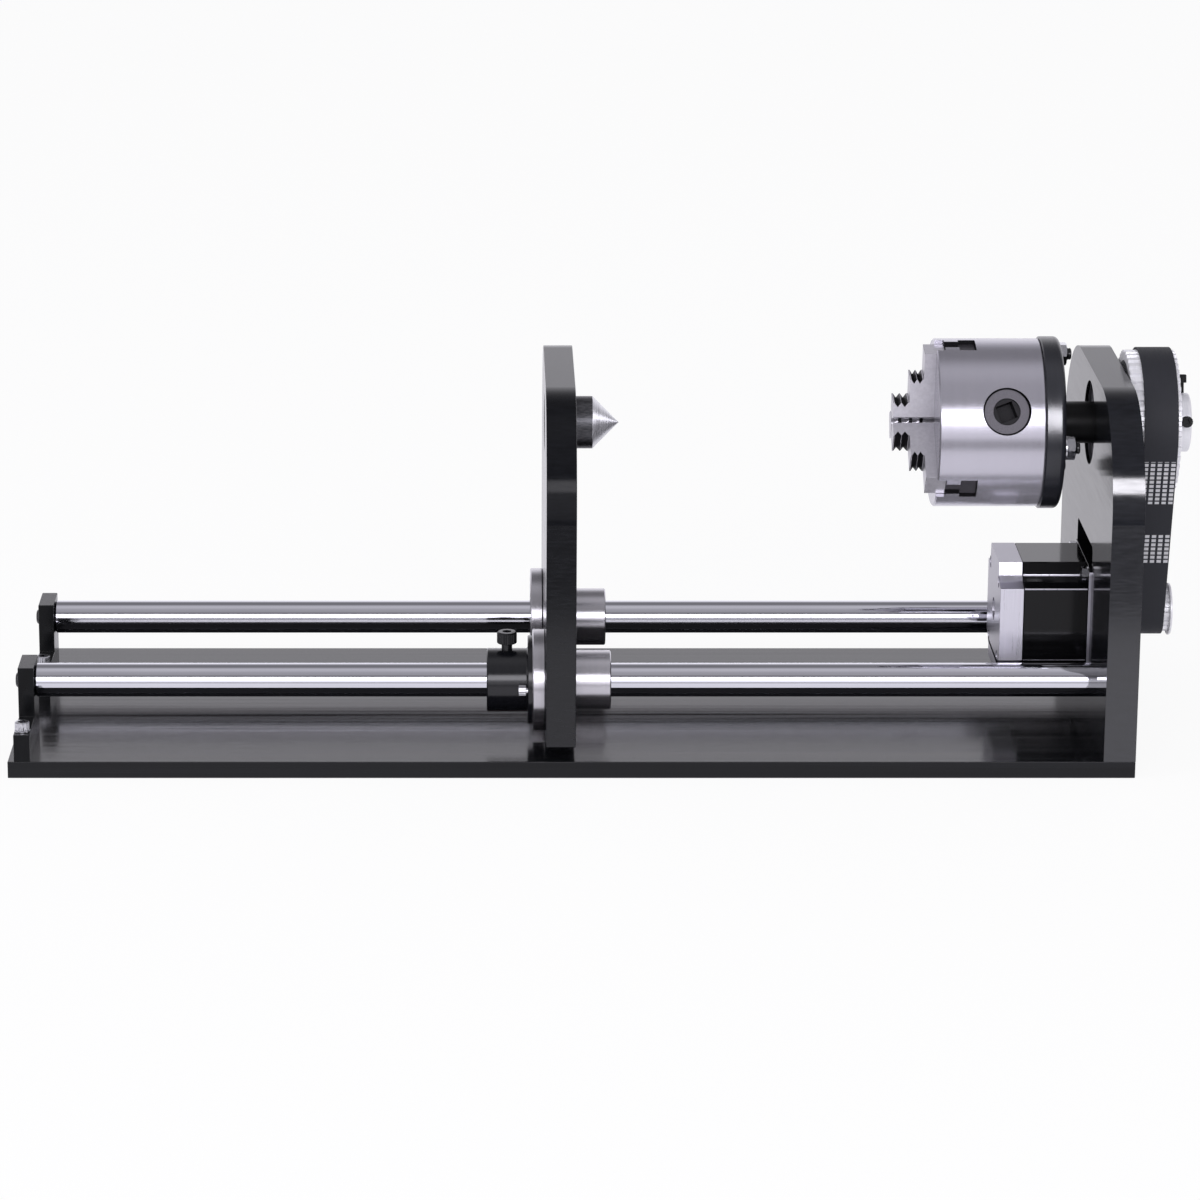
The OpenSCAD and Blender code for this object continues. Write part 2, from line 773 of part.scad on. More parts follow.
module chuck_backplate() {
    r = backplate_d / 2;
    edge = 0.5;
    back = backplate_x + backplate_t;
    color(black) difference() {
        turned_x(concat(
            [[backplate_x - register_l, 0], [backplate_x - register_l, register_d / 2],
                [backplate_x, register_d / 2], [backplate_x, r - edge], [backplate_x + edge, r]],
            arc_points(back - backplate_r, r - backplate_r, backplate_r, 90, 0, 8),
            [[back, 0]]
        ), 0, spindle_z);
        rod_x(backplate_x - register_l - cut, backplate_t + register_l + 2 * cut, spindle_d, 0, spindle_z);
        stud_places() rod_x(backplate_x - cut, backplate_t + 2 * cut, stud_d);
    }
}

module chuck_studs() {
    l = stud_depth + backplate_t + washer_t + nut_t + stud_out;
    color(oxide) stud_places() rod_x(backplate_x - stud_depth, l, stud_d);
}

module chuck_washers() {
    back = backplate_x + backplate_t;
    color(chrome) stud_places() ring_x(back, washer_t, nut_flats + washer_rim, stud_d);
}

module chuck_nuts() {
    x = backplate_x + backplate_t + washer_t;
    color(chrome) stud_places() difference() {
        translate([x, 0, 0]) rotate([0, 90, 0]) cylinder(h = nut_t, d = nut_flats / cos(30), $fn = 6);
        rod_x(x - cut, nut_t + 2 * cut, stud_d);
    }
}

module jaw_slot() {
    reach = chuck_d / 2 + 1;
    wide = jaw_w + 2 * slide_gap;
    neck = jaw_neck_w + 2 * slide_gap;
    block([chuck_x - cut, -reach, -wide / 2], [slot_mouth + cut, reach, wide]);
    block([chuck_x, -reach, -neck / 2], [slot_depth, reach, neck]);
    block([chuck_x + slot_neck, -reach, -wide / 2], [slot_depth - slot_neck, reach, wide]);
}

module chuck_body() {
    r = chuck_d / 2;
    edge = 0.7;
    back = chuck_x + chuck_l;
    color(steel) difference() {
        turned_x([[chuck_x, 0], [chuck_x, r - edge], [chuck_x + edge, r],
            [back - edge, r], [back, r - edge], [back, 0]], 0, spindle_z);
        rod_x(chuck_x - cut, chuck_l, chuck_bore, 0, spindle_z);
        rod_x(chuck_x + slot_depth, chuck_l, 2 * cavity_r, 0, spindle_z);
        rod_x(chuck_x + cover_back, chuck_l, register_d, 0, spindle_z);
        for (i = [0:2]) {
            on_spindle(chuck_phase + 60 + i * 120) jaw_slot();
            on_spindle(chuck_phase + i * 120) translate([pinion_x, -cavity_r + 2, 0])
                rotate([90, 0, 0]) cylinder(h = r, d = pinion_d + 2 * run_fit);
        }
        stud_places() rod_x(backplate_x - stud_depth, stud_depth + cut, stud_d);
    }
}

module chuck_rear_cover() {
    color(steel) difference() {
        union() {
            rod_x(chuck_x + cover_front, cover_t, 2 * cavity_r, 0, spindle_z);
            rod_x(chuck_x + scroll_top + ridge_h, cover_front - scroll_top - ridge_h + cut,
                2 * boss_r, 0, spindle_z);
        }
        rod_x(chuck_x, chuck_l, chuck_bore, 0, spindle_z);
    }
}

// The flat spiral thread on the scroll
module scroll_ridge() {
    turns = floor((scroll_r - scroll_hub_r) / scroll_pitch * 10) / 10;
    steps = ceil(turns * 24);
    start = scroll_hub_r - 2;
    half = scroll_pitch / 4;
    inner = [for (i = [0:steps]) let (n = turns * i / steps, r = start + scroll_pitch * n - half)
        [r * cos(360 * n), -r * sin(360 * n)]];
    outer = [for (i = [steps:-1:0]) let (n = turns * i / steps, r = start + scroll_pitch * n + half)
        [r * cos(360 * n), -r * sin(360 * n)]];
    rotate([90, 0, 90]) linear_extrude(ridge_h + 0.5) polygon(concat(inner, outer));
}

module scroll_plate() {
    disc = chuck_x + scroll_top + ridge_h;
    disc_t = scroll_back - scroll_top - ridge_h;
    teeth = 36;
    notch_w = 1.2;
    notch_h = 0.8;
    color(steel) difference() {
        union() {
            rod_x(disc, disc_t, 2 * scroll_r, 0, spindle_z);
            rod_x(disc, cover_front - air_gap - scroll_top - ridge_h, 2 * scroll_hub_r, 0, spindle_z);
            translate([chuck_x + scroll_top, 0, spindle_z]) scroll_ridge();
        }
        rod_x(chuck_x, chuck_l, 2 * (boss_r + run_fit), 0, spindle_z);
        for (i = [0:teeth - 1]) on_spindle(i * 360 / teeth)
            block([chuck_x + scroll_back - notch_h, -scroll_r - 1, -notch_w / 2],
                [2 * notch_h, scroll_r - scroll_hub_r - 2, notch_w]);
    }
}

// A pinion along -Y, at the place of its axis
module pinion_shape() {
    length = pinion_end_r - cavity_r - air_gap;
    gear_from = scroll_hub_r + 1.5;
    notch_w = 1.6;
    notch_h = 1.2;
    mouth = 1.6;
    difference() {
        union() {
            translate([0, -cavity_r - air_gap, 0]) rotate([90, 0, 0]) cylinder(h = length, d = pinion_d);
            translate([0, -gear_from, 0]) rotate([90, 0, 0])
                cylinder(h = cavity_r + air_gap - gear_from + cut, d = pinion_gear_d);
        }
        for (i = [0:pinion_teeth - 1]) rotate([0, i * 360 / pinion_teeth, 0])
            block([pinion_gear_d / 2 - notch_h, -pinion_gear_r, -notch_w / 2],
                [2 * notch_h, pinion_gear_r - gear_from + 1, notch_w]);
        translate([0, -pinion_end_r - cut, 0]) rotate([-90, 0, 0]) cylinder(h = mouth, d = key_mouth_d);
        translate([-key_square / 2, -pinion_end_r - cut, -key_square / 2])
            cube([key_square, key_depth, key_square]);
    }
}

module pinion(i) {
    color(steel) on_spindle(chuck_phase + i * 120) translate([pinion_x, 0, 0]) pinion_shape();
}

// One layer of a jaw, from depth a to depth b, with a pointed inner end
module jaw_layer(a, b, w, reach) {
    tip = 0.6;
    slope = tan(60);
    points = [
        [-tip, tip * slope], [-w / 2 / slope, w / 2], [-reach, w / 2],
        [-reach, -w / 2], [-w / 2 / slope, -w / 2], [-tip, -tip * slope]
    ];
    translate([chuck_x + a, 0, 0]) rotate([90, 0, 90]) linear_extrude(b - a) polygon(points);
}

// Sharp grooves across the outer face of a jaw step
module jaw_grooves(reach, from, to) {
    count = 2;
    land = 0.5;
    crest = 0.2;
    deep = 2.2;
    pitch = (to - from - 2 * land) / count;
    half = (pitch - crest) / 2;
    for (i = [0:count - 1]) {
        x = chuck_x + from + land + pitch * (i + 0.5);
        translate([0, 0, -jaw_w]) linear_extrude(2 * jaw_w)
            polygon([[x - half, -reach - cut], [x + half, -reach - cut], [x, -reach + deep]]);
    }
}

module jaw_shape() {
    difference() {
        union() {
            jaw_layer(-jaw_h1, 0, jaw_w, jaw_r1);
            jaw_layer(-jaw_h2, 0, jaw_w, jaw_r2);
            jaw_layer(-jaw_h3, slot_mouth - slide_gap, jaw_w, jaw_r3);
            jaw_layer(0, slot_depth - slide_gap, jaw_neck_w, jaw_r3);
            jaw_layer(slot_neck + slide_gap, slot_depth - slide_gap, jaw_w, jaw_r3);
        }
        jaw_grooves(jaw_r1, -jaw_h1, -jaw_h2);
        jaw_grooves(jaw_r2, -jaw_h2, -jaw_h3);
    }
}

module jaw(i) {
    color(steel) on_spindle(chuck_phase + 60 + i * 120) translate([0, -jaw_open, 0]) jaw_shape();
}

function tooth_points(teeth) =
    let (tip = tip_r(teeth), root = tip - belt_tooth_h - 0.1, step = 360 / teeth)
    [for (i = [0:teeth - 1], p = [[-0.30, root], [-0.20, tip], [0.20, tip], [0.30, root]])
        let (a = (i + p[0]) * step) [p[1] * cos(a), p[1] * sin(a)]];

module toothed_x(x, w, teeth, z) {
    translate([x, 0, z]) rotate([90, 0, 90]) linear_extrude(w) polygon(tooth_points(teeth));
}

module set_screw_places() {
    for (i = [0, 1]) on_spindle(set_screw_phase + i * 90) translate([set_screw_x, 0, 0]) children();
}

module spindle_pulley() {
    rim = spindle_tip_r - pulley_rim;
    color(aluminium) difference() {
        union() {
            toothed_x(pulley_x, pulley_w, spindle_teeth, spindle_z);
            rod_x(pulley_right, hub_l, hub_d, 0, spindle_z);
            rod_x(head_right, pulley_gap + cut, spindle_d + 2 * spacer_rim, 0, spindle_z);
        }
        ring_x(pulley_x - cut, pulley_recess, 2 * rim, hub_d, 0, spindle_z);
        ring_x(pulley_right - pulley_recess, pulley_recess + cut, 2 * rim, hub_d, 0, spindle_z);
        rod_x(head_right - cut, hub_right - head_right + 2 * cut, spindle_d, 0, spindle_z);
        set_screw_places() rotate([90, 0, 0]) cylinder(h = hub_d, d = set_screw_d);
    }
}

module pulley_set_screws() {
    r = hub_d / 2 + set_screw_out;
    color(oxide) set_screw_places() translate([0, -r, 0]) rotate([90, 0, 0])
        cap_screw(set_screw_d, set_head_d, set_head_h, r - spindle_d / 2);
}

module motor_shaft() {
    color(chrome) rod_x(motor_rear + 1, motor_l - 1 + motor_shaft_l, motor_shaft_d, 0, motor_z);
}

module rotor_core() {
    from = motor_rear + motor_cap_l;
    l = motor_l - motor_cap_l - motor_front_l;
    color(steel) ring_x(from, l, rotor_bore - 2 * air_gap, motor_shaft_d, 0, motor_z);
}

module drive_pulley() {
    color(aluminium) difference() {
        union() {
            rod_x(pulley_x, drive_x - pulley_x, drive_hub_d, 0, motor_z);
            rod_x(drive_x - drive_flange_t, drive_flange_t, drive_flange_d, 0, motor_z);
            toothed_x(drive_x, drive_w, drive_teeth, motor_z);
            rod_x(drive_right, drive_flange_t, drive_flange_d, 0, motor_z);
        }
        rod_x(pulley_x - cut, 2 * drive_w, motor_shaft_d, 0, motor_z);
        translate([grub_x, 0, motor_z]) cylinder(h = drive_hub_d, d = grub_d);
    }
}

module drive_grub_screw() {
    from = motor_shaft_d / 2;
    color(oxide) translate([grub_x, 0, motor_z + from]) difference() {
        cylinder(h = drive_hub_d / 2 - from - grub_inset, d = grub_d);
        translate([0, 0, grub_d]) cylinder(h = drive_hub_d, d = grub_key_d, $fn = 6);
    }
}

module tailstock_plate() {
    color(black) difference() {
        upright_plate(tail_x, tail_t, base_t + tail_gap);
        for (s = [-1, 1]) {
            rod_x(tail_x - cut, tail_t + 2 * cut, bushing_d, s * rail_y, rail_z);
            flange_screw_places(s) rod_x(0, flange_screw_l - bushing_flange_t, flange_screw_d);
        }
        rod_x(tail_x - cut, tail_t + 2 * cut, centre_lip_d, 0, spindle_z);
        rod_x(tail_x - cut, shank_pocket + centre_bearing_w - tail_x + cut, centre_bearing_d, 0, spindle_z);
    }
}

// The four screw places of a bushing flange, at the plate face
module flange_screw_places(s) {
    for (i = [0:3]) translate([tail_x, s * rail_y, rail_z]) rotate([45 + i * 90, 0, 0])
        translate([0, -flange_screw_r, 0]) children();
}

module bushing(s) {
    color(steel) difference() {
        union() {
            rod_x(flange_left, bushing_l, bushing_d, s * rail_y, rail_z);
            rod_x(flange_left, bushing_flange_t, bushing_flange_d, s * rail_y, rail_z);
        }
        rod_x(flange_left - cut, bushing_l + 2 * cut, rail_d + 2 * run_fit, s * rail_y, rail_z);
        for (x = [flange_left - cut, flange_left + bushing_l - seal_l])
            rod_x(x, seal_l + cut, seal_d, s * rail_y, rail_z);
        flange_screw_places(s) rod_x(-bushing_flange_t - cut, bushing_flange_t + 2 * cut, flange_screw_d);
        flange_screw_places(s) rod_x(-bushing_flange_t - cut, flange_head_h + cut, flange_head_d);
    }
}

module bushing_seals() {
    color(oxide) for (s = [-1, 1], x = [flange_left, flange_left + bushing_l - seal_l])
        ring_x(x, seal_l, seal_d, rail_d + 2 * slide_gap, s * rail_y, rail_z);
}

module bushing_screws() {
    color(oxide) for (s = [-1, 1]) flange_screw_places(s)
        translate([-bushing_flange_t + flange_head_h, 0, 0]) rotate([0, -90, 0])
            cap_screw(flange_screw_d, flange_head_d, flange_head_h - 0.2, flange_screw_l - flange_head_h);
}

// The two screws in the collar flange, in front of and behind the rail
module collar_screw_places() {
    for (s = [-1, 1]) translate([flange_left, -rail_y + s * collar_screw_r, rail_z]) children();
}

module lock_collar() {
    bore = rail_d + 2 * run_fit;
    color(black) difference() {
        union() {
            rod_x(collar_x, collar_l, collar_d, -rail_y, rail_z);
            rod_x(flange_left - collar_flange_t, collar_flange_t, collar_flange_d, -rail_y, rail_z);
        }
        rod_x(collar_x - cut, collar_l + 2 * cut, bore, -rail_y, rail_z);
        translate([lock_x, -rail_y, rail_z]) cylinder(h = collar_d, d = lock_screw_d + 2 * run_fit);
        collar_screw_places() rod_x(-collar_flange_t - cut, collar_flange_t + 2 * cut, collar_screw_d);
    }
}

module collar_screws() {
    l = collar_flange_t + collar_screw_stand - cut;
    color(chrome) collar_screw_places() translate([-collar_flange_t - collar_screw_stand, 0, 0])
        rotate([0, -90, 0]) cap_screw(collar_screw_d, collar_head_d, collar_head_h, l);
}

module lock_screw() {
    top = collar_d / 2 + lock_screw_out;
    tip = rail_d / 2 + air_gap;
    color(oxide) translate([lock_x, -rail_y, rail_z + top])
        cap_screw(lock_screw_d, lock_head_d, lock_head_h, top - tip);
}

module centre_bearing_outer() {
    color(steel)
        ball_race_outer(shank_pocket, centre_bearing_d, centre_shank_d, centre_bearing_w, spindle_z);
}

module centre_bearing_inner() {
    color(steel)
        ball_race_inner(shank_pocket, centre_bearing_d, centre_shank_d, centre_bearing_w, spindle_z);
}

module centre_bearing_balls() {
    color(chrome)
        ball_race_balls(shank_pocket, centre_bearing_d, centre_shank_d, centre_bearing_w, spindle_z, 8);
}

module live_centre() {
    shoulder_x = shank_pocket + centre_bearing_w;
    r = centre_d / 2;
    edge = 0.4;
    step = 1.8;
    color(steel) difference() {
        turned_x([
            [shank_pocket, 0], [shank_pocket, centre_shank_d / 2], [shoulder_x, centre_shank_d / 2],
            [shoulder_x, centre_shank_d / 2 + step], [centre_x, centre_shank_d / 2 + step],
            [centre_x, r - edge], [centre_x + edge, r], [centre_x + centre_l, r], [centre_x + centre_l + r, 0]
        ], 0, spindle_z);
        rod_x(shank_pocket - cut, end_screw_l - end_washer_t + 2 * cut, end_screw_d, 0, spindle_z);
    }
}

module centre_end_screw() {
    washer_d = centre_shank_d + 3;
    color(oxide) {
        rod_x(shank_pocket - end_washer_t, end_washer_t, washer_d, 0, spindle_z);
        translate([shank_pocket - end_washer_t, 0, spindle_z])
            button_screw_x(end_screw_d, end_head_d, end_head_h, end_screw_l);
    }
}

base_plate();
headstock_plate();
rail(-rail_y);  // front_rail
rail(rail_y);  // rear_rail
end_post(-rail_y);  // front_end_post
end_post(rail_y);  // rear_end_post
foot_screws();
foot_washers();
rail_left_screws();
rail_right_screws();
base_screws();
spindle_bearing_outer();
spindle_bearing_shields();
motor_rear_cap();
motor_stack();
motor_front_cap();
motor_case_screws();
motor_mount_screws();
motor_mount_nuts();
motor_lead_grommet();
timing_belt();
spindle_tube();
spindle_bearing_inner();
spindle_bearing_balls();
chuck_backplate();
chuck_body();
chuck_rear_cover();
chuck_studs();
chuck_nuts();
chuck_washers();
spindle_pulley();
pulley_set_screws();
scroll_plate();
pinion(0);  // pinion_1
pinion(1);  // pinion_2
pinion(2);  // pinion_3
jaw(0);  // jaw_1
jaw(1);  // jaw_2
jaw(2);  // jaw_3
motor_shaft();
rotor_core();
drive_pulley();
drive_grub_screw();
tailstock_plate();
bushing(-1);  // front_bushing
bushing(1);  // rear_bushing
bushing_seals();
bushing_screws();
lock_collar();
collar_screws();
centre_bearing_outer();
live_centre();
centre_bearing_inner();
centre_bearing_balls();
centre_end_screw();
lock_screw();
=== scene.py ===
"""Looks of a CNC rotary axis: a belt driven chuck headstock and a sliding tailstock on two rails."""

import logging
import math
from dataclasses import dataclass, field, replace
from enum import Enum
from typing import Callable, Iterable, Sequence

import bmesh
import bpy
from mathutils import Matrix, Vector

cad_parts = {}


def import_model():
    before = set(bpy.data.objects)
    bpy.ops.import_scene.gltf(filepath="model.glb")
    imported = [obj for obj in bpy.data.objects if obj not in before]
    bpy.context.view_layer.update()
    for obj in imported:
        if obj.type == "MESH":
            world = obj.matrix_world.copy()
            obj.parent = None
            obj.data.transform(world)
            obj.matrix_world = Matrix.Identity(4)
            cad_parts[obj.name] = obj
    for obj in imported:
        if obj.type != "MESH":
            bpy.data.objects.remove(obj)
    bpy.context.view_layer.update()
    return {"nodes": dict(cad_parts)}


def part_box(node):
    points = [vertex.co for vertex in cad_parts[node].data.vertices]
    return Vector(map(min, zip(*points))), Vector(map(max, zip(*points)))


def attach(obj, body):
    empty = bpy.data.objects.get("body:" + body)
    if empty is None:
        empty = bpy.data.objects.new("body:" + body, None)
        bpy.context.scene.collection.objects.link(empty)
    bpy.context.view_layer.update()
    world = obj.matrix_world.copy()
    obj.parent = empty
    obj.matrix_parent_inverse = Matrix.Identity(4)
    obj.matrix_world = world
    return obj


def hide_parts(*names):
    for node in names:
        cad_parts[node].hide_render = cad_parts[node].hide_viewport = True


LOG = logging.getLogger("rotary_axis")
MM = 0.001
# In metres: what counts as the same place, what edit mode merges, and how far a tool reaches past its cut
NEAR = 1e-5
WELD = 1e-6
PAST = 0.001
Point = tuple[float, float]
Test = Callable[[object], bool]


class Element(Enum):
    """What an edit mode selection is made of."""

    VERT = "verts"
    EDGE = "edges"
    FACE = "faces"


class Form(Enum):
    """How a turned outline is closed."""

    SOLID = "solid"
    RING = "ring"


class Cut(Enum):
    """What a boolean does with its tool."""

    REMOVE = "DIFFERENCE"
    JOIN = "UNION"
    KEEP = "INTERSECT"


@dataclass(frozen=True)
class Span:
    """The box of a CAD node at rest, in metres."""

    low: Vector
    high: Vector

    @classmethod
    def of(cls, node: str) -> "Span":
        """Reads the box of a node from the frame."""
        return cls(*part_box(node))

    @property
    def centre(self) -> Vector:
        """The middle of the box."""
        return (self.low + self.high) / 2

    @property
    def size(self) -> Vector:
        """The lengths of the box along the axes."""
        return self.high - self.low


def linear(hex_colour: str) -> tuple[float, float, float, float]:
    """Turns an sRGB hex colour into linear values.

    Args:
        hex_colour: Six hex digits after a number sign.

    Returns:
        Red, green, blue and an alpha of 1.
    """
    parts = [int(hex_colour[i : i + 2], 16) / 255 for i in (1, 3, 5)]
    values = [p / 12.92 if p <= 0.04045 else ((p + 0.055) / 1.055) ** 2.4 for p in parts]
    return (values[0], values[1], values[2], 1.0)


def add_node(
    tree: bpy.types.NodeTree, kind: str, settings: dict | None = None, **inputs: object
) -> bpy.types.Node:
    """Adds one shader node with its settings, values and links.

    Args:
        tree: The node tree that gets the node.
        kind: The node's type name.
        settings: Attributes to set on the node.
        inputs: A value or an output socket for each input, by its name with underscores, or in_0, in_1 by place.

    Returns:
        The new node.
    """
    node = tree.nodes.new(kind)
    for key, value in (settings or {}).items():
        setattr(node, key, value)
    for key, value in inputs.items():
        socket = node.inputs[int(key[3:])] if key.startswith("in_") else node.inputs[key.replace("_", " ")]
        if isinstance(value, bpy.types.NodeSocket):
            tree.links.new(value, socket)
        else:
            socket.default_value = value
    return node


@dataclass(frozen=True)
class Finish:
    """One surface finish: a base colour, a second shade in its grain, and a fine relief.

    The grain's three lengths are in millimetres along X, Y and Z, so a long one beside two short ones is a
    brushed or turned surface, and three like ones are a cast, sprayed or moulded surface.
    """

    name: str
    colour: str
    shade: str
    metallic: float
    roughness: tuple[float, float]
    grain: tuple[float, float, float]
    relief: float = 0.0
    specular: float = 0.5
    coat: float = 0.0

    def build(self) -> bpy.types.Material:
        """Returns the material, made at its first use."""
        found = bpy.data.materials.get(self.name)
        if found:
            return found
        material = bpy.data.materials.new(self.name)
        material.use_nodes = True
        tree = material.node_tree
        tree.nodes.clear()
        coords = add_node(tree, "ShaderNodeTexCoord")
        scale = tuple(1 / (length * MM) for length in self.grain)
        mapping = add_node(tree, "ShaderNodeMapping", Vector=coords.outputs["Object"], Scale=scale)
        grain = add_node(
            tree, "ShaderNodeTexNoise", Vector=mapping.outputs["Vector"], Scale=1.0, Detail=2.5, Roughness=0.6
        )
        spread = add_node(tree, "ShaderNodeMapRange", in_0=grain.outputs["Fac"], in_1=0.3, in_2=0.7)
        colour = self.tint(tree, coords, spread.outputs[0])
        low, high = self.roughness
        rough = add_node(tree, "ShaderNodeMapRange", in_0=spread.outputs[0], in_3=low, in_4=high)
        shader = add_node(
            tree,
            "ShaderNodeBsdfPrincipled",
            Base_Color=colour,
            Metallic=self.metallic,
            Roughness=rough.outputs[0],
            Specular_IOR_Level=self.specular,
            Coat_Weight=self.coat,
        )
        shader.inputs["Coat Roughness"].default_value = 0.08
        if self.relief:
            bump = add_node(
                tree, "ShaderNodeBump", Strength=1.0, Distance=self.relief * MM, Height=grain.outputs["Fac"]
            )
            tree.links.new(bump.outputs["Normal"], shader.inputs["Normal"])
        add_node(tree, "ShaderNodeOutputMaterial", Surface=shader.outputs["BSDF"])
        return material

    def tint(
        self, tree: bpy.types.NodeTree, coords: bpy.types.Node, grain: bpy.types.NodeSocket
    ) -> bpy.types.NodeSocket:
        """Mixes the two shades by the grain.

        Args:
            tree: The material's node tree.
            coords: The Texture Coordinate node, not used here.
            grain: The spread grain value.

        Returns:
            The socket of the mixed colour.
        """
        shades = {"in_6": linear(self.shade), "in_7": linear(self.colour)}
        return add_node(tree, "ShaderNodeMix", {"data_type": "RGBA"}, in_0=grain, **shades).outputs[2]


@dataclass(frozen=True)
class DashedBelt(Finish):
    """Belt rubber with two bands of plain pale dashes printed in rows along it.

    Pitches, bands and edges are in mm, and the halves are shares of a pitch.
    """

    print_colour: str = "#d8d8da"
    row_pitch: float = 3.2
    row_half: float = 0.32
    dash_pitch: float = 2.2
    dash_half: float = 0.34
    bands: tuple[Point, Point] = ((115.0, 137.0), (83.6, 99.0))
    left_edge: float = 269.6
    front_edge: float = -12.0

    def tint(
        self, tree: bpy.types.NodeTree, coords: bpy.types.Node, grain: bpy.types.NodeSocket
    ) -> bpy.types.NodeSocket:
        """Prints rows of dashes over the rubber.

        Args:
            tree: The material's node tree.
            coords: The Texture Coordinate node.
            grain: The spread grain value.

        Returns:
            The socket of the printed colour.
        """
        rubber = super().tint(tree, coords, grain)
        axes = add_node(tree, "ShaderNodeSeparateXYZ", Vector=coords.outputs["Object"])
        steps = [
            ("row", "SUBTRACT", "X", self.left_edge * MM),
            ("row", "DIVIDE", "row", self.row_pitch * MM),
            ("row", "FRACT", "row", 0.0),
            ("row", "SUBTRACT", "row", 0.5),
            ("row", "ABSOLUTE", "row", 0.0),
            ("row", "LESS_THAN", "row", self.row_half),
            ("dash", "DIVIDE", "Z", self.dash_pitch * MM),
            ("dash", "FRACT", "dash", 0.0),
            ("dash", "SUBTRACT", "dash", 0.5),
            ("dash", "ABSOLUTE", "dash", 0.0),
            ("dash", "LESS_THAN", "dash", self.dash_half),
            ("front", "LESS_THAN", "Y", self.front_edge * MM),
        ]
        for low, high in self.bands:
            steps += [
                ("above", "GREATER_THAN", "Z", low * MM),
                ("below", "LESS_THAN", "Z", high * MM),
                ("band", "MULTIPLY", "above", "below"),
                ("bands", "ADD", "bands", "band"),
            ]
        steps += [("bands", "MULTIPLY", "bands", "front"), ("row", "MULTIPLY", "row", "dash")]
        steps += [("mask", "MULTIPLY", "row", "bands")]
        values: dict[object, object] = {axis: axes.outputs[axis] for axis in "XYZ"} | {"bands": 0.0}
        for name, operation, first, second in steps:
            inputs = {"in_0": values.get(first, first), "in_1": values.get(second, second)}
            values[name] = add_node(tree, "ShaderNodeMath", {"operation": operation}, **inputs).outputs[0]
        shades = {"in_6": rubber, "in_7": linear(self.print_colour)}
        return add_node(tree, "ShaderNodeMix", {"data_type": "RGBA"}, in_0=values["mask"], **shades).outputs[2]


# Black anodised aluminium bar, brushed along its length: dark, and a soft mirror at a grazing angle
BASE_ANODISED = Finish(
    "black_anodised_brushed_along_x", "#17181b", "#0b0c0e", 0.0, (0.09, 0.20), (400.0, 3.6, 8.0), 0.04, 0.26
)
# Black anodised plate, milled on its edges and smooth on its faces
PLATE_ANODISED = Finish(
    "black_anodised_plate", "#1c1d21", "#151619", 0.0, (0.10, 0.16), (9.0, 30.0, 1.4), 0.0025, 0.12
)
# Painted sheen: a shinier copy of the plate finish on the headstock plate's flat front, lighter than its corner
SHEEN_ANODISED = Finish(
    "black_anodised_milled_edge", "#1c1d21", "#151619", 0.0, (0.12, 0.20), (9.0, 30.0, 1.4), 0.0025, 0.9
)
# The same painted sheen, a little weaker, on the flat front of the tailstock plate
TAIL_SHEEN_ANODISED = replace(SHEEN_ANODISED, name="black_anodised_dull_edge", specular=0.42)
# Black anodised small block
POST_ANODISED = Finish(
    "black_anodised_post", "#101113", "#0b0c0d", 0.0, (0.16, 0.26), (3.0, 3.0, 8.0), 0.003, 0.15
)
# Hard chrome on a ground shaft: a clean mirror with hardly any grinding marks
HARD_CHROME = Finish("hard_chrome_shaft", "#dcdce3", "#d6d6de", 1.0, (0.05, 0.07), (60.0, 4.0, 4.0), 0.0)
# Ground steel of the chuck body, with faint lines round it from the grinding wheel
GROUND_STEEL = Finish("ground_chuck_steel", "#bab8c1", "#b7b5be", 0.8, (0.21, 0.24), (1.4, 90.0, 90.0), 0.0)
# Hardened and ground jaws
JAW_STEEL = Finish("ground_jaw_steel", "#cac8ce", "#bcbac0", 0.75, (0.28, 0.36), (2.0, 2.0, 2.0), 0.001)
# Dull grey steel of the pinions
PINION_STEEL = Finish("dull_pinion_steel", "#636166", "#4e4c51", 0.8, (0.40, 0.52), (0.5, 0.5, 0.5), 0.008)
# Dark steel as painted shade: inside the chuck, in the pinions' sockets and round their heads, and in the jaw cuts
SHADED_STEEL = Finish("oily_dark_steel", "#232225", "#161517", 0.5, (0.40, 0.55), (0.8, 0.8, 0.8), 0.01, 0.3)
# Turned steel cone, with rings left by the tool
TURNED_STEEL = Finish("turned_cone_steel", "#e4e4e7", "#bcbcc1", 0.8, (0.22, 0.32), (0.4, 25.0, 25.0), 0.006)
# Darker rolled skin on the straight part of the centre
DARK_STEEL = Finish("dark_centre_steel", "#6a6a6d", "#3f3f42", 0.95, (0.30, 0.46), (3.0, 0.5, 0.5), 0.01)
# Ground bearing steel of the linear bushings
BUSHING_STEEL = Finish("ground_bushing_steel", "#c7c5ca", "#c1bfc4", 0.95, (0.22, 0.25), (0.8, 40.0, 40.0), 0.0)
# Polished bearing rings, balls and shafts
BEARING_STEEL = Finish("polished_bearing_steel", "#c9c9cc", "#b9b9bd", 0.2, (0.24, 0.32), (2.0, 8.0, 8.0), 0.0)
# Pressed steel shields of the spindle bearing
SHIELD_STEEL = Finish("pressed_shield_steel", "#8d8b93", "#7c7a82", 0.2, (0.30, 0.40), (2.0, 2.0, 2.0), 0.002)
# Stacked steel sheets of the rotor
ROTOR_STEEL = Finish("rotor_sheet_steel", "#7c7c80", "#55555a", 1.0, (0.34, 0.50), (0.5, 30.0, 30.0), 0.03)
# Bright zinc on small screws, nuts and washers
ZINC = Finish("bright_zinc", "#dadade", "#bcbcc2", 1.0, (0.10, 0.20), (1.0, 1.0, 1.0), 0.004)
# Black oxide on socket screws and studs: nearly black with a thin oily gloss
BLACK_OXIDE = Finish("black_oxide_steel", "#1b1c1e", "#101113", 0.3, (0.16, 0.28), (0.6, 0.6, 0.6), 0.004, 0.6)
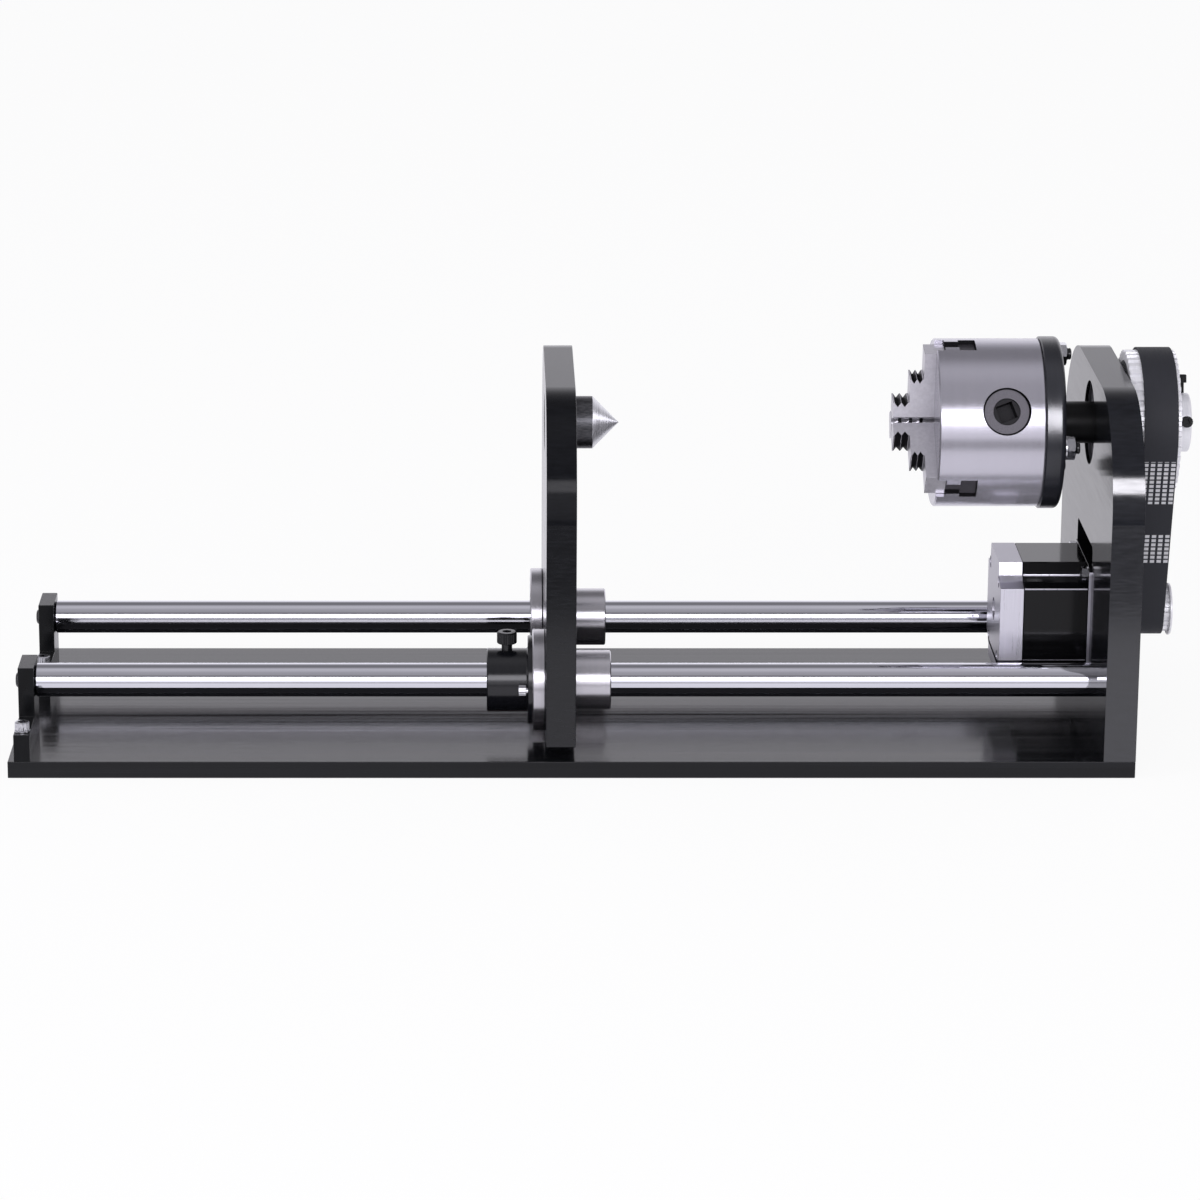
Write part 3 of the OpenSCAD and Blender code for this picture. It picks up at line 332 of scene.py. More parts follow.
# Blackened turned steel of the backplate
BLACK_STEEL = Finish(
    "blackened_turned_steel", "#212227", "#1d1e22", 0.2, (0.24, 0.27), (1.5, 30.0, 30.0), 0.0, 0.6
)
# The collar, turned smoother than the backplate
COLLAR_STEEL = replace(
    BLACK_STEEL, name="blackened_collar_steel", colour="#17181c", shade="#131418", roughness=(0.17, 0.20)
)
# The spindle is blackened too, and hardly shines
SPINDLE_STEEL = Finish(
    "dull_black_spindle_steel", "#0c0c0e", "#09090a", 0.0, (0.38, 0.48), (0.5, 12.0, 12.0), 0.002, 0.2
)
# Bare machined aluminium of the pulleys, which looks nearly white beside the belt
MACHINED_ALUMINIUM = Finish("machined_aluminium", "#f6f6f8", "#eaeaee", 0.25, (0.30, 0.42), (0.5, 9.0, 9.0), 0.004)
# Die cast end caps of the motor, a smooth dull grey
CAST_ALUMINIUM = Finish("cast_motor_aluminium", "#b3b1ba", "#adabb4", 0.85, (0.32, 0.38), (1.6, 1.6, 1.6), 0.0008)
# Painted light: a brighter copy of the cap aluminium for the rear cap's front and back flats and the stack's notch
# edges
LIT_ALUMINIUM = Finish(
    "milled_motor_aluminium", "#e6e4ee", "#dddbe5", 0.5, (0.26, 0.34), (1.2, 9.0, 30.0), 0.0008
)
# Gloss black paint over the stacked sheets of the motor
MOTOR_PAINT = Finish(
    "gloss_black_motor_paint", "#0f0f11", "#0a0a0b", 0.0, (0.07, 0.13), (0.5, 30.0, 30.0), 0.002, 0.24
)
# A duller copy of the same paint: painted shade on the walls of the stack's notches
SHADED_PAINT = replace(MOTOR_PAINT, name="matt_black_motor_paint", roughness=(0.4, 0.5), specular=0.05)
# Moulded black rubber of seals and the lead grommet
RUBBER = Finish("moulded_black_rubber", "#1a1a1c", "#131314", 0.0, (0.55, 0.70), (0.8, 0.8, 0.8), 0.02, 0.35)
# Neoprene timing belt: matte, with a faint line from each cord
BELT_RUBBER = DashedBelt(
    "neoprene_timing_belt", "#303136", "#2a2b30", 0.0, (0.55, 0.70), (0.5, 6.0, 6.0), 0.01, 0.3
)


@dataclass
class Piece:
    """One mesh that is shaped in edit mode with Blender's own operators."""

    name: str
    obj: bpy.types.Object = field(init=False)

    def __post_init__(self) -> None:
        """Takes over the primitive that was added last and puts its place in its mesh."""
        self.obj = bpy.context.active_object
        self.obj.name = self.name
        self.obj.data.name = self.name
        self.settle()

    @classmethod
    def block(cls, name: str, low: Sequence[float], high: Sequence[float]) -> "Piece":
        """Adds a block between two corners.

        Args:
            name: Name of the piece.
            low: Lowest corner, in metres.
            high: Highest corner, in metres.

        Returns:
            The new piece.
        """
        low, high = Vector(low), Vector(high)
        bpy.ops.object.select_all(action="DESELECT")
        bpy.ops.mesh.primitive_cube_add(size=1, location=(low + high) / 2, scale=high - low)
        return cls(name)

    @classmethod
    def prism(cls, name: str, sides: int, across: float, start: Sequence[float], length: float) -> "Piece":
        """Adds a prism along X.

        Args:
            name: Name of the piece.
            sides: How many sides it has.
            across: Its width across the corners, in metres.
            start: The centre of its lower X end.
            length: Its length along X.

        Returns:
            The new piece.
        """
        middle = Vector(start) + Vector((length / 2, 0, 0))
        bpy.ops.object.select_all(action="DESELECT")
        bpy.ops.mesh.primitive_cylinder_add(
            vertices=sides, radius=across / 2, depth=length, location=middle, rotation=(0, math.pi / 2, 0)
        )
        return cls(name)

    @classmethod
    def turned(
        cls,
        name: str,
        outline: Sequence[Point],
        centre: Point = (0.0, 0.0),
        segments: int = 96,
        form: Form = Form.SOLID,
    ) -> "Piece":
        """Turns an outline about an axis along X, one extrusion and resize after the other.

        Args:
            name: Name of the piece.
            outline: Places along X and radii, in metres, in order round the outline.
            centre: Y and Z of the axis.
            segments: How many sides the circles have.
            form: Whether the ends are closed by faces or joined to each other.

        Returns:
            The new piece.
        """
        y, z = centre
        x, radius = outline[0]
        bpy.ops.object.select_all(action="DESELECT")
        bpy.ops.mesh.primitive_circle_add(
            vertices=segments, radius=radius, fill_type="NOTHING", location=(x, y, z), rotation=(0, math.pi / 2, 0)
        )
        piece = cls(name)
        bpy.ops.object.mode_set(mode="EDIT")
        bpy.ops.mesh.select_mode(type="EDGE")
        bpy.ops.mesh.select_all(action="SELECT")
        for (x0, r0), (x1, r1) in zip(outline, outline[1:]):
            bpy.ops.mesh.extrude_region_move(TRANSFORM_OT_translate={"value": (x1 - x0, 0, 0)})
            if r1 != r0:
                ratio = max(r1, 1e-7) / r0
                bpy.ops.transform.resize(value=(1, ratio, ratio), center_override=(x1, y, z))
        bpy.ops.mesh.select_all(action="SELECT")
        bpy.ops.mesh.remove_doubles(threshold=WELD)
        bpy.ops.mesh.select_all(action="DESELECT")
        bpy.ops.mesh.select_non_manifold()
        if form is Form.RING:
            bpy.ops.mesh.bridge_edge_loops()
        else:
            bpy.ops.mesh.fill_holes(sides=0)
        return piece.face_out()

    def settle(self) -> "Piece":
        """Puts the object's place, turn and size in its mesh."""
        self.activate("OBJECT")
        bpy.ops.object.transform_apply(location=True, rotation=True, scale=True)
        return self

    def face_out(self) -> "Piece":
        """Turns all faces outwards."""
        self.activate("EDIT")
        bpy.ops.mesh.select_all(action="SELECT")
        bpy.ops.mesh.normals_make_consistent(inside=False)
        return self.leave_edit()

    def leave_edit(self) -> "Piece":
        """Goes back from edit mode to object mode."""
        bpy.ops.object.mode_set(mode="OBJECT")
        return self

    def activate(self, mode: str) -> None:
        """Makes this the one selected object.

        Args:
            mode: The mode that it is in then.
        """
        if bpy.context.object and bpy.context.object.mode != "OBJECT":
            bpy.ops.object.mode_set(mode="OBJECT")
        bpy.ops.object.select_all(action="DESELECT")
        self.obj.select_set(True)
        bpy.context.view_layer.objects.active = self.obj
        bpy.ops.object.mode_set(mode=mode)

    def pick(self, kind: Element, test: Test) -> "Piece":
        """Selects the elements that pass a test, in edit mode.

        Args:
            kind: What to select.
            test: Takes a vertex, edge or face and says whether it is picked.

        Returns:
            This piece.
        """
        self.activate("EDIT")
        bpy.ops.mesh.select_mode(type=kind.name)
        bpy.ops.mesh.select_all(action="DESELECT")
        mesh = bmesh.from_edit_mesh(self.obj.data)
        for item in getattr(mesh, kind.value):
            if test(item):
                item.select_set(True)
        mesh.select_flush_mode()
        bmesh.update_edit_mesh(self.obj.data)
        return self

    def round_edges(self, test: Test, radius: float, segments: int = 1) -> "Piece":
        """Bevels picked edges.

        Args:
            test: Picks the edges.
            radius: Width of the bevel, in metres.
            segments: How many faces the bevel has.

        Returns:
            This piece.
        """
        self.pick(Element.EDGE, test)
        bpy.ops.mesh.bevel(offset=radius, segments=segments, affect="EDGES", profile=0.5)
        return self.leave_edit()

    def move(self, test: Test, offset: Sequence[float]) -> "Piece":
        """Moves picked vertices.

        Args:
            test: Picks the vertices.
            offset: How far they move, in metres.

        Returns:
            This piece.
        """
        self.pick(Element.VERT, test)
        bpy.ops.transform.translate(value=offset)
        return self.leave_edit()

    def spread(self, test: Test, ratio: float, centre: Sequence[float]) -> "Piece":
        """Resizes picked vertices in Y and Z about a centre.

        Args:
            test: Picks the vertices.
            ratio: The factor.
            centre: The point that stays.

        Returns:
            This piece.
        """
        self.pick(Element.VERT, test)
        bpy.ops.transform.resize(value=(1, ratio, ratio), center_override=centre)
        return self.leave_edit()

    def slice(self, point: Sequence[float], normal: Sequence[float], away: bool = True) -> "Piece":
        """Cuts the faces along a plane.

        Args:
            point: A point on the plane.
            normal: The plane's direction.
            away: Whether what lies that way is cut off and the cut closed, or both sides stay.

        Returns:
            This piece.
        """
        self.activate("EDIT")
        bpy.ops.mesh.select_all(action="SELECT")
        plane = Vector(normal).normalized()
        bpy.ops.mesh.bisect(plane_co=point, plane_no=plane, use_fill=away, clear_outer=away, threshold=WELD)
        return self.leave_edit()

    def combine(self, tool: "Piece", how: Cut = Cut.REMOVE) -> "Piece":
        """Applies a boolean with another piece, which is used up.

        Args:
            tool: The other piece.
            how: What the boolean does.

        Returns:
            This piece.
        """
        self.activate("OBJECT")
        modifier = self.obj.modifiers.new("boolean", "BOOLEAN")
        modifier.object = tool.obj
        modifier.operation = how.value
        modifier.solver = "EXACT"
        bpy.ops.object.modifier_apply(modifier=modifier.name)
        bpy.data.objects.remove(tool.obj)
        return self

    def soften(self, width: float, segments: int = 2, angle: float = 32.0) -> "Piece":
        """Rounds all sharp edges a little.

        Args:
            width: Width of the rounding, in metres.
            segments: How many faces it has.
            angle: The least angle of a sharp edge, in degrees.

        Returns:
            This piece.
        """
        self.activate("OBJECT")
        modifier = self.obj.modifiers.new("bevel", "BEVEL")
        modifier.width = width
        modifier.segments = segments
        modifier.limit_method = "ANGLE"
        modifier.angle_limit = math.radians(angle)
        modifier.use_clamp_overlap = True
        bpy.ops.object.modifier_apply(modifier=modifier.name)
        return self

    def place(self, matrix: Matrix) -> "Piece":
        """Moves the piece and puts its new place in its mesh.

        Args:
            matrix: What moves it.

        Returns:
            This piece.
        """
        self.activate("OBJECT")
        self.obj.matrix_world = matrix @ self.obj.matrix_world
        return self.settle()

    def copies(self, places: Iterable[Matrix]) -> "Piece":
        """Puts a copy of the piece at each place and joins them, in place of the model at the origin.

        Args:
            places: A matrix for each copy.

        Returns:
            This piece, which then holds all the copies.
        """
        made = []
        for matrix in places:
            twin = self.obj.copy()
            twin.data = self.obj.data.copy()
            bpy.context.scene.collection.objects.link(twin)
            twin.matrix_world = matrix
            made.append(twin)
        bpy.ops.object.select_all(action="DESELECT")
        bpy.data.objects.remove(self.obj)
        for twin in made:
            twin.select_set(True)
        bpy.context.view_layer.objects.active = made[0]
        bpy.ops.object.transform_apply(location=True, rotation=True, scale=True)
        if len(made) > 1:
            bpy.ops.object.join()
        self.obj = made[0]
        self.obj.name = self.name
        self.obj.data.name = self.name
        return self

    def add(self, other: "Piece") -> "Piece":
        """Joins another piece to this one without merging them.

        Args:
            other: The piece that becomes a part of this one.

        Returns:
            This piece.
        """
        self.activate("OBJECT")
        other.obj.select_set(True)
        bpy.ops.object.join()
        return self

    def coat(self, finish: Finish) -> "Piece":
        """Gives the whole piece its first finish.

        Args:
            finish: The finish.

        Returns:
            This piece.
        """
        self.obj.data.materials.clear()
        self.obj.data.materials.append(finish.build())
        return self

    def paint(self, test: Test, finish: Finish) -> "Piece":
        """Gives picked faces another finish than the rest of the piece, which has its own already.

        Args:
            test: Picks the faces.
            finish: Their finish.

        Returns:
            This piece.
        """
        self.obj.data.materials.append(finish.build())
        self.pick(Element.FACE, test)
        self.obj.active_material_index = len(self.obj.data.materials) - 1
        bpy.ops.object.material_slot_assign()
        return self.leave_edit()

    def dress(self, finish: Finish, body: str, *nodes: str, smooth: float = 30.0) -> "Piece":
        """Shades the piece, gives it its body, lets it stand for its CAD nodes, and coats it if that isn't done.

        Args:
            finish: The piece's finish.
            body: The CAD body that it moves with.
            nodes: The CAD nodes that it stands for.
            smooth: The largest angle that is shaded smooth, in degrees.

        Returns:
            This piece.
        """
        self.activate("OBJECT")
        bpy.ops.object.shade_smooth_by_angle(angle=math.radians(smooth))
        modifier = self.obj.modifiers.new("flat_faces_stay_flat", "WEIGHTED_NORMAL")
        modifier.keep_sharp = True
        bpy.ops.object.modifier_apply(modifier=modifier.name)
        if not self.obj.data.materials:
            self.coat(finish)
        self.obj.select_set(False)
        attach(self.obj, body)
        if nodes:
            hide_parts(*nodes)
        LOG.info("%s: %d faces on %s", self.name, len(self.obj.data.polygons), body)
        return self


def along_x(test: Test = lambda middle: True) -> Test:
    """Returns a test for edges that run along X and whose middle passes another test.

    Args:
        test: Takes the middle of the edge.

    Returns:
        The test for an edge.
    """

    def check(edge: bmesh.types.BMEdge) -> bool:
        """Says whether the edge runs along X."""
        first, second = edge.verts[0].co, edge.verts[1].co
        return abs((second - first).normalized().x) > 0.999 and test((first + second) / 2)

    return check


def front_of(span: Span) -> Test:
    """Returns a test for the flat front face of a plate with this box."""
    return lambda face: face.normal.y < -0.9999 and face.calc_center_median().y < span.low.y + NEAR


def aim(point: Sequence[float], direction: Sequence[float]) -> Matrix:
    """Returns the place that moves a model along +X at the origin to a point and direction.

    Args:
        point: The new origin, in metres.
        direction: Where +X points.

    Returns:
        The matrix.
    """
    turn = Vector((1, 0, 0)).rotation_difference(Vector(direction).normalized())
    return Matrix.Translation(Vector(point)) @ turn.to_matrix().to_4x4()


def outward(angle: float) -> Vector:
    """Returns the direction at an angle above the front horizontal, in degrees, square to X."""
    return Vector((0, -math.cos(math.radians(angle)), math.sin(math.radians(angle))))


def about_axis(angle: float, centre: Point) -> Matrix:
    """Returns a turn by an angle above the front horizontal about an axis along X.

    Args:
        angle: The angle in degrees.
        centre: Y and Z of the axis.

    Returns:
        The matrix.
    """
    shift = Matrix.Translation((0, centre[0], centre[1]))
    return shift @ Matrix.Rotation(math.radians(-angle), 4, "X") @ shift.inverted()


def four_corners(reach: float) -> list[Point]:
    """Returns the corners of a square about the origin, given half its width."""
    return [(a * reach, b * reach) for a in (-1, 1) for b in (-1, 1)]


def chamfered(low: float, high: float, radius: float, edge: float) -> list[Point]:
    """Returns the outline of a rod along X with a chamfer at both ends."""
    return [(low, radius - edge), (low + edge, radius), (high - edge, radius), (high, radius - edge)]


def round_corner(x: float, r: float, radius: float, start: float, end: float, steps: int = 6) -> list[Point]:
    """Returns the points of an arc in an outline.

    Args:
        x: Place of the arc's centre along X.
        r: Radius at the arc's centre.
        radius: Radius of the arc.
        start: First angle in degrees, from +X towards a larger radius.
        end: Last angle.
        steps: How many stretches it has.

    Returns:
        Places along X and radii.
    """
    angles = [math.radians(start + (end - start) * i / steps) for i in range(steps + 1)]
    return [(x + radius * math.cos(a), r + radius * math.sin(a)) for a in angles]


def across_corners(flats: float) -> float:
    """Returns the width of a hexagon across its corners."""
    return flats / math.cos(math.pi / 6)


@dataclass(frozen=True)
class CapScrew:
    """A socket head cap screw, modelled along +X with the underside of its head at the origin. Sizes in mm."""

    shank: float
    length: float
    head: float
    head_height: float
    key: float
    ridges: int = 24
    groove: float = 0.955
    floor: float = 0.42

    def model(self, name: str) -> Piece:
        """Models the screw with its ridged head, hexagon socket and pointed shank.

        Args:
            name: Name of the piece.

        Returns:
            The screw at the origin.
        """
        shank, head, high = self.shank / 2 * MM, self.head / 2 * MM, self.head_height * MM
        edge, end = 0.07 * head, -self.length * MM
        outline = [
            (end, shank * 0.75),
            (end + shank * 0.25, shank),
            (0.0, shank),
            (0.0, head - edge),
            (edge, head),
            (high - 2 * edge, head),
            (high, head - 2 * edge),
        ]
        screw = Piece.turned(name, outline, segments=4 * self.ridges)

        def groove(vert: bmesh.types.BMVert) -> bool:
            """Picks every second pair of vertices on the side of the head."""
            step = math.degrees(math.atan2(vert.co.z, vert.co.y)) * 4 * self.ridges / 360
            return abs(math.hypot(vert.co.y, vert.co.z) - head) < WELD and round(step) % 4 in (0, 1)

        screw.spread(groove, self.groove, (0, 0, 0))
        socket = Piece.prism("socket", 6, across_corners(self.key) * MM, (self.floor * high, 0, 0), high)
        return screw.combine(socket).soften(0.05 * head, 1, 50)


@dataclass(frozen=True)
class ButtonScrew:
    """A low round head with a hexagon socket, modelled along +X with its underside at the origin. Sizes in mm."""

    height: float
    socket: float
    rim: float
    floor: float
    shank: tuple[Point, ...] = ()

    def model(self, name: str, head: float) -> Piece:
        """Models the head, with the end of its shank where that shows.

        Args:
            name: Name of the piece.
            head: Radius of the head, in metres.

        Returns:
            The screw at the origin.
        """
        high, rim = self.height * MM, self.rim * self.height * MM
        outline = [(x * MM, r * MM) for x, r in self.shank] + [(0.0, head), (rim, head)]
        outline += round_corner(rim, head - (high - rim), high - rim, 90, 0)
        screw = Piece.turned(name, outline, segments=64)
        socket = Piece.prism("socket", 6, self.socket * MM, (self.floor * high, 0, 0), high)
        return screw.combine(socket).soften(0.08 * MM, 1, 45)


@dataclass(frozen=True)
class HexNut:
    """A hexagon nut or washer stack, modelled along +X from the origin. Sizes in mm."""

    flats: float
    thick: float
    hole: float

    def model(self, name: str) -> Piece:
        """Models the nut with the turned corners of a real one.

        Args:
            name: Name of the piece.

        Returns:
            The nut at the origin.
        """
        corner, flats, thick = across_corners(self.flats) * MM, self.flats / 2 * MM, self.thick * MM
        nut = Piece.prism(name, 6, corner, (0, 0, 0), thick)
        drop = (corner - 2 * flats) / 2 * math.tan(math.radians(30))
        wide = corner / 2 + NEAR
        outline = [(0.0, flats), (drop, wide), (thick - drop, wide), (thick, flats)]
        nut.combine(Piece.turned("corners", outline), Cut.KEEP)
        hole = Piece.prism("hole", 32, self.hole * MM, (-thick, 0, 0), 3 * thick)
        return nut.combine(hole).soften(0.1 * MM, 1, 40)


@dataclass
class BaseAndRails:
    """The base bar, the two rails and the posts that hold their free ends. Sizes in mm."""

    edge: float = 0.35
    rail_edge: float = 0.8
    foot_height: float = 13.0
    screw_head: float = 9.6
    screw_shank: float = 5.0
    foot_screw: CapScrew = CapScrew(4.0, 1.0, 7.0, 4.0, 3.0)
    washer_hole: float = 4.2
    rail_screw: ButtonScrew = ButtonScrew(2.0, 2.9, 0.15, 0.35, ((-1.0, 2.0), (0.0, 2.0)))

    def base(self) -> Piece:
        """Models the base bar with the countersinks in its underside."""
        span = Span.of("base_plate")
        bar = Piece.block("base_bar", span.low, span.high).soften(self.edge * MM)
        screws = Span.of("base_screws")
        post, plate = Span.of("front_end_post").centre.x, Span.of("headstock_plate").centre.x
        rail_y = abs(Span.of("front_rail").centre.y)
        top, shank = self.screw_head / 2 * MM, self.screw_shank / 2 * MM
        head_y = screws.size.y / 2 - top
        outline = [(-0.1 * MM, top), (0.0, top), (top - shank, shank), (10 * MM, shank)]
        for x, y in ((post, -rail_y), (post, rail_y), (plate, -head_y), (plate, 0), (plate, head_y)):
            sink = Piece.turned("countersink", outline, segments=48)
            bar.combine(sink.place(aim((x, y, span.low.z), (0, 0, 1))))
        return bar.dress(BASE_ANODISED, "frame", "base_plate")

    def rail(self, node: str, name: str) -> Piece:
        """Models one rail with the chamfers at its ends.

        Args:
            node: The CAD node of the rail.
            name: Name of the piece.

        Returns:
            The rail.
        """
        span = Span.of(node)
        outline = chamfered(span.low.x, span.high.x, span.size.z / 2, self.rail_edge * MM)
        rod = Piece.turned(name, outline, (span.centre.y, span.centre.z), 128)
        return rod.dress(HARD_CHROME, "frame", node)

    def post(self, node: str, name: str) -> Piece:
        """Models one post: an upright block with a foot drawn out of its front face.

        Args:
            node: The CAD node of the post.
            name: Name of the piece.

        Returns:
            The post.
        """
        span = Span.of(node)
        rail = Span.of(node.replace("end_post", "rail"))
        width = 2 * (span.high.y - rail.centre.y)
        step = span.low.z + self.foot_height * MM
        front = span.high.y - width
        upright = Piece.block(name, (span.low.x, front, span.low.z), span.high)
        upright.slice((0, 0, step), (0, 0, 1), away=False)
        upright.pick(Element.FACE, lambda face: face.normal.y < -0.9 and face.calc_center_median().z < step)
        bpy.ops.mesh.extrude_region_move(TRANSFORM_OT_translate={"value": (0, span.low.y - front, 0)})
        upright.leave_edit().face_out().soften(self.edge * MM)
        return upright.dress(POST_ANODISED, "frame", node)

    def foot_screws(self) -> Piece:
        """Models the bright screws in the feet of the posts."""
        span = Span.of("foot_screws")
        places = self.feet(span, self.foot_screw.head / 2 * MM, Span.of("foot_washers").high.z)
        return self.foot_screw.model("foot_cap_screws").copies(places).dress(ZINC, "frame", "foot_screws")

    def feet(self, span: Span, radius: float, z: float) -> list[Matrix]:
        """Returns the upright places of the round pieces at both ends of a box."""
        return [aim((span.centre.x, y, z), (0, 0, 1)) for y in (span.low.y + radius, span.high.y - radius)]

    def foot_washers(self) -> Piece:
        """Models the washers under the foot screws."""
        span = Span.of("foot_washers")
        radius, thick, hole = span.size.x / 2, span.size.z, self.washer_hole / 2 * MM
        outline = [*chamfered(0.0, thick, radius, 0.2 * MM), (thick, hole), (0.0, hole)]
        ring = Piece.turned("foot_plain_washers", outline, segments=64, form=Form.RING)
        return ring.copies(self.feet(span, radius, span.low.z)).dress(ZINC, "frame", "foot_washers")

    def rail_screws(self, node: str, name: str, facing: float) -> Piece:
        """Models the round head screws at one end of the rails.

        Args:
            node: The CAD node of the screws.
            name: Name of the piece.
            facing: -1 where the heads face left and 1 where they face right.

        Returns:
            The screws.
        """
        span = Span.of(node)
        rail = Span.of("front_rail").centre
        seat = (span.low.x if facing < 0 else span.high.x) - facing * self.rail_screw.height * MM
        screw = self.rail_screw.model(name, span.size.z / 2)
        screw.copies([aim((seat, side * rail.y, rail.z), (facing, 0, 0)) for side in (1, -1)])
        return screw.dress(BLACK_OXIDE, "frame", node)

    def build(self) -> None:
        """Builds all the pieces of the base."""
        self.base()
        for end in ("front", "rear"):
            self.rail(f"{end}_rail", f"{end}_guide_rail")
        for end in ("front", "rear"):
            self.post(f"{end}_end_post", f"{end}_rail_post")
        self.foot_screws()
        self.foot_washers()
        self.rail_screws("rail_left_screws", "rail_post_screws", -1)
        self.rail_screws("rail_right_screws", "rail_plate_screws", 1)


def upright_plate(name: str, span: Span, corner: float) -> Piece:
    """Models a plate with two round top corners.

    Args:
        name: Name of the piece.
        span: Its box.
        corner: Radius of the corners, in metres.

    Returns:
        The plate.
    """
    plate = Piece.block(name, span.low, span.high)
    plate.round_edges(along_x(lambda middle: middle.z > span.high.z - NEAR), corner, 32)
    return plate


@dataclass
class Headstock:
    """The headstock plate, its bearing and the hollow spindle. Sizes in mm."""

    corner: float = 53.0
    edge: float = 0.3
    mouth: float = 40.0
    dark_depth: float = 1.5
    pocket_depth: float = 8.0
    pocket_rise: float = 10.0
    pocket_drop: float = 3.0
    pocket_side: float = 0.8
    pocket_corner: float = 3.0
    bore: float = 12.0

    def plate(self) -> Piece:
        """Models the plate with the spindle hole and the motor pocket."""
        span = Span.of("headstock_plate")
        spindle = Span.of("spindle_tube").centre
        bearing = Span.of("spindle_bearing_outer")
        plate = upright_plate("headstock_side_plate", span, self.corner * MM)
        wide, ring, ledge = self.mouth / 2 * MM, bearing.size.z / 2, span.low.x + self.dark_depth * MM
        narrow = wide - 0.1 * MM
        hole = [(span.low.x - PAST, wide), (ledge, wide), (ledge, narrow), (bearing.low.x, narrow)]
        hole += [(bearing.low.x, ring), (span.high.x + PAST, ring)]
        plate.combine(Piece.turned("spindle_hole", hole, (spindle.y, spindle.z), 128))
        motor, side = Span.of("motor_front_cap"), self.pocket_side * MM
        deep, top = span.low.x + self.pocket_depth * MM, motor.high.z + self.pocket_rise * MM
        low = (span.low.x - PAST, motor.low.y - side, motor.low.z - self.pocket_drop * MM)
        pocket = Piece.block("motor_pocket", low, (deep, motor.high.y + side, top))
        pocket.round_edges(along_x(), self.pocket_corner * MM, 6)
        plate.combine(pocket).soften(self.edge * MM)

        def lit_wall(face: bmesh.types.BMFace) -> bool:
            """Picks the wall in front of the bearing, painted light grey in place of the lit bearing face.

            Args:
                face: The face.

            Returns:
                Whether it is picked.
            """
            middle = face.calc_center_median()
            near = math.hypot(middle.y - spindle.y, middle.z - spindle.z) < wide + NEAR
            return near and ledge - NEAR < middle.x < bearing.low.x

        # Painted sheen on the flat front, and a painted light grey on the wall in front of the bearing
        plate.coat(PLATE_ANODISED).paint(front_of(span), SHEEN_ANODISED).paint(lit_wall, SHIELD_STEEL)
        return plate.dress(PLATE_ANODISED, "frame", "headstock_plate")

    def spindle(self) -> Piece:
        """Models the hollow spindle."""
        span = Span.of("spindle_tube")
        radius, bore, edge = span.size.z / 2, self.bore / 2 * MM, 0.6 * MM
        outline = [
            (span.low.x, bore),
            (span.low.x, radius),
            (span.high.x - edge, radius),
            (span.high.x, radius - edge),
            (span.high.x, bore + edge),
            (span.high.x - edge, bore),
        ]
        tube = Piece.turned("hollow_spindle", outline, (span.centre.y, span.centre.z), 96, Form.RING)
        return tube.dress(SPINDLE_STEEL, "spindle", "spindle_tube")

    def build(self) -> None:
        """Builds all the pieces of the headstock."""
        self.plate()
        self.spindle()


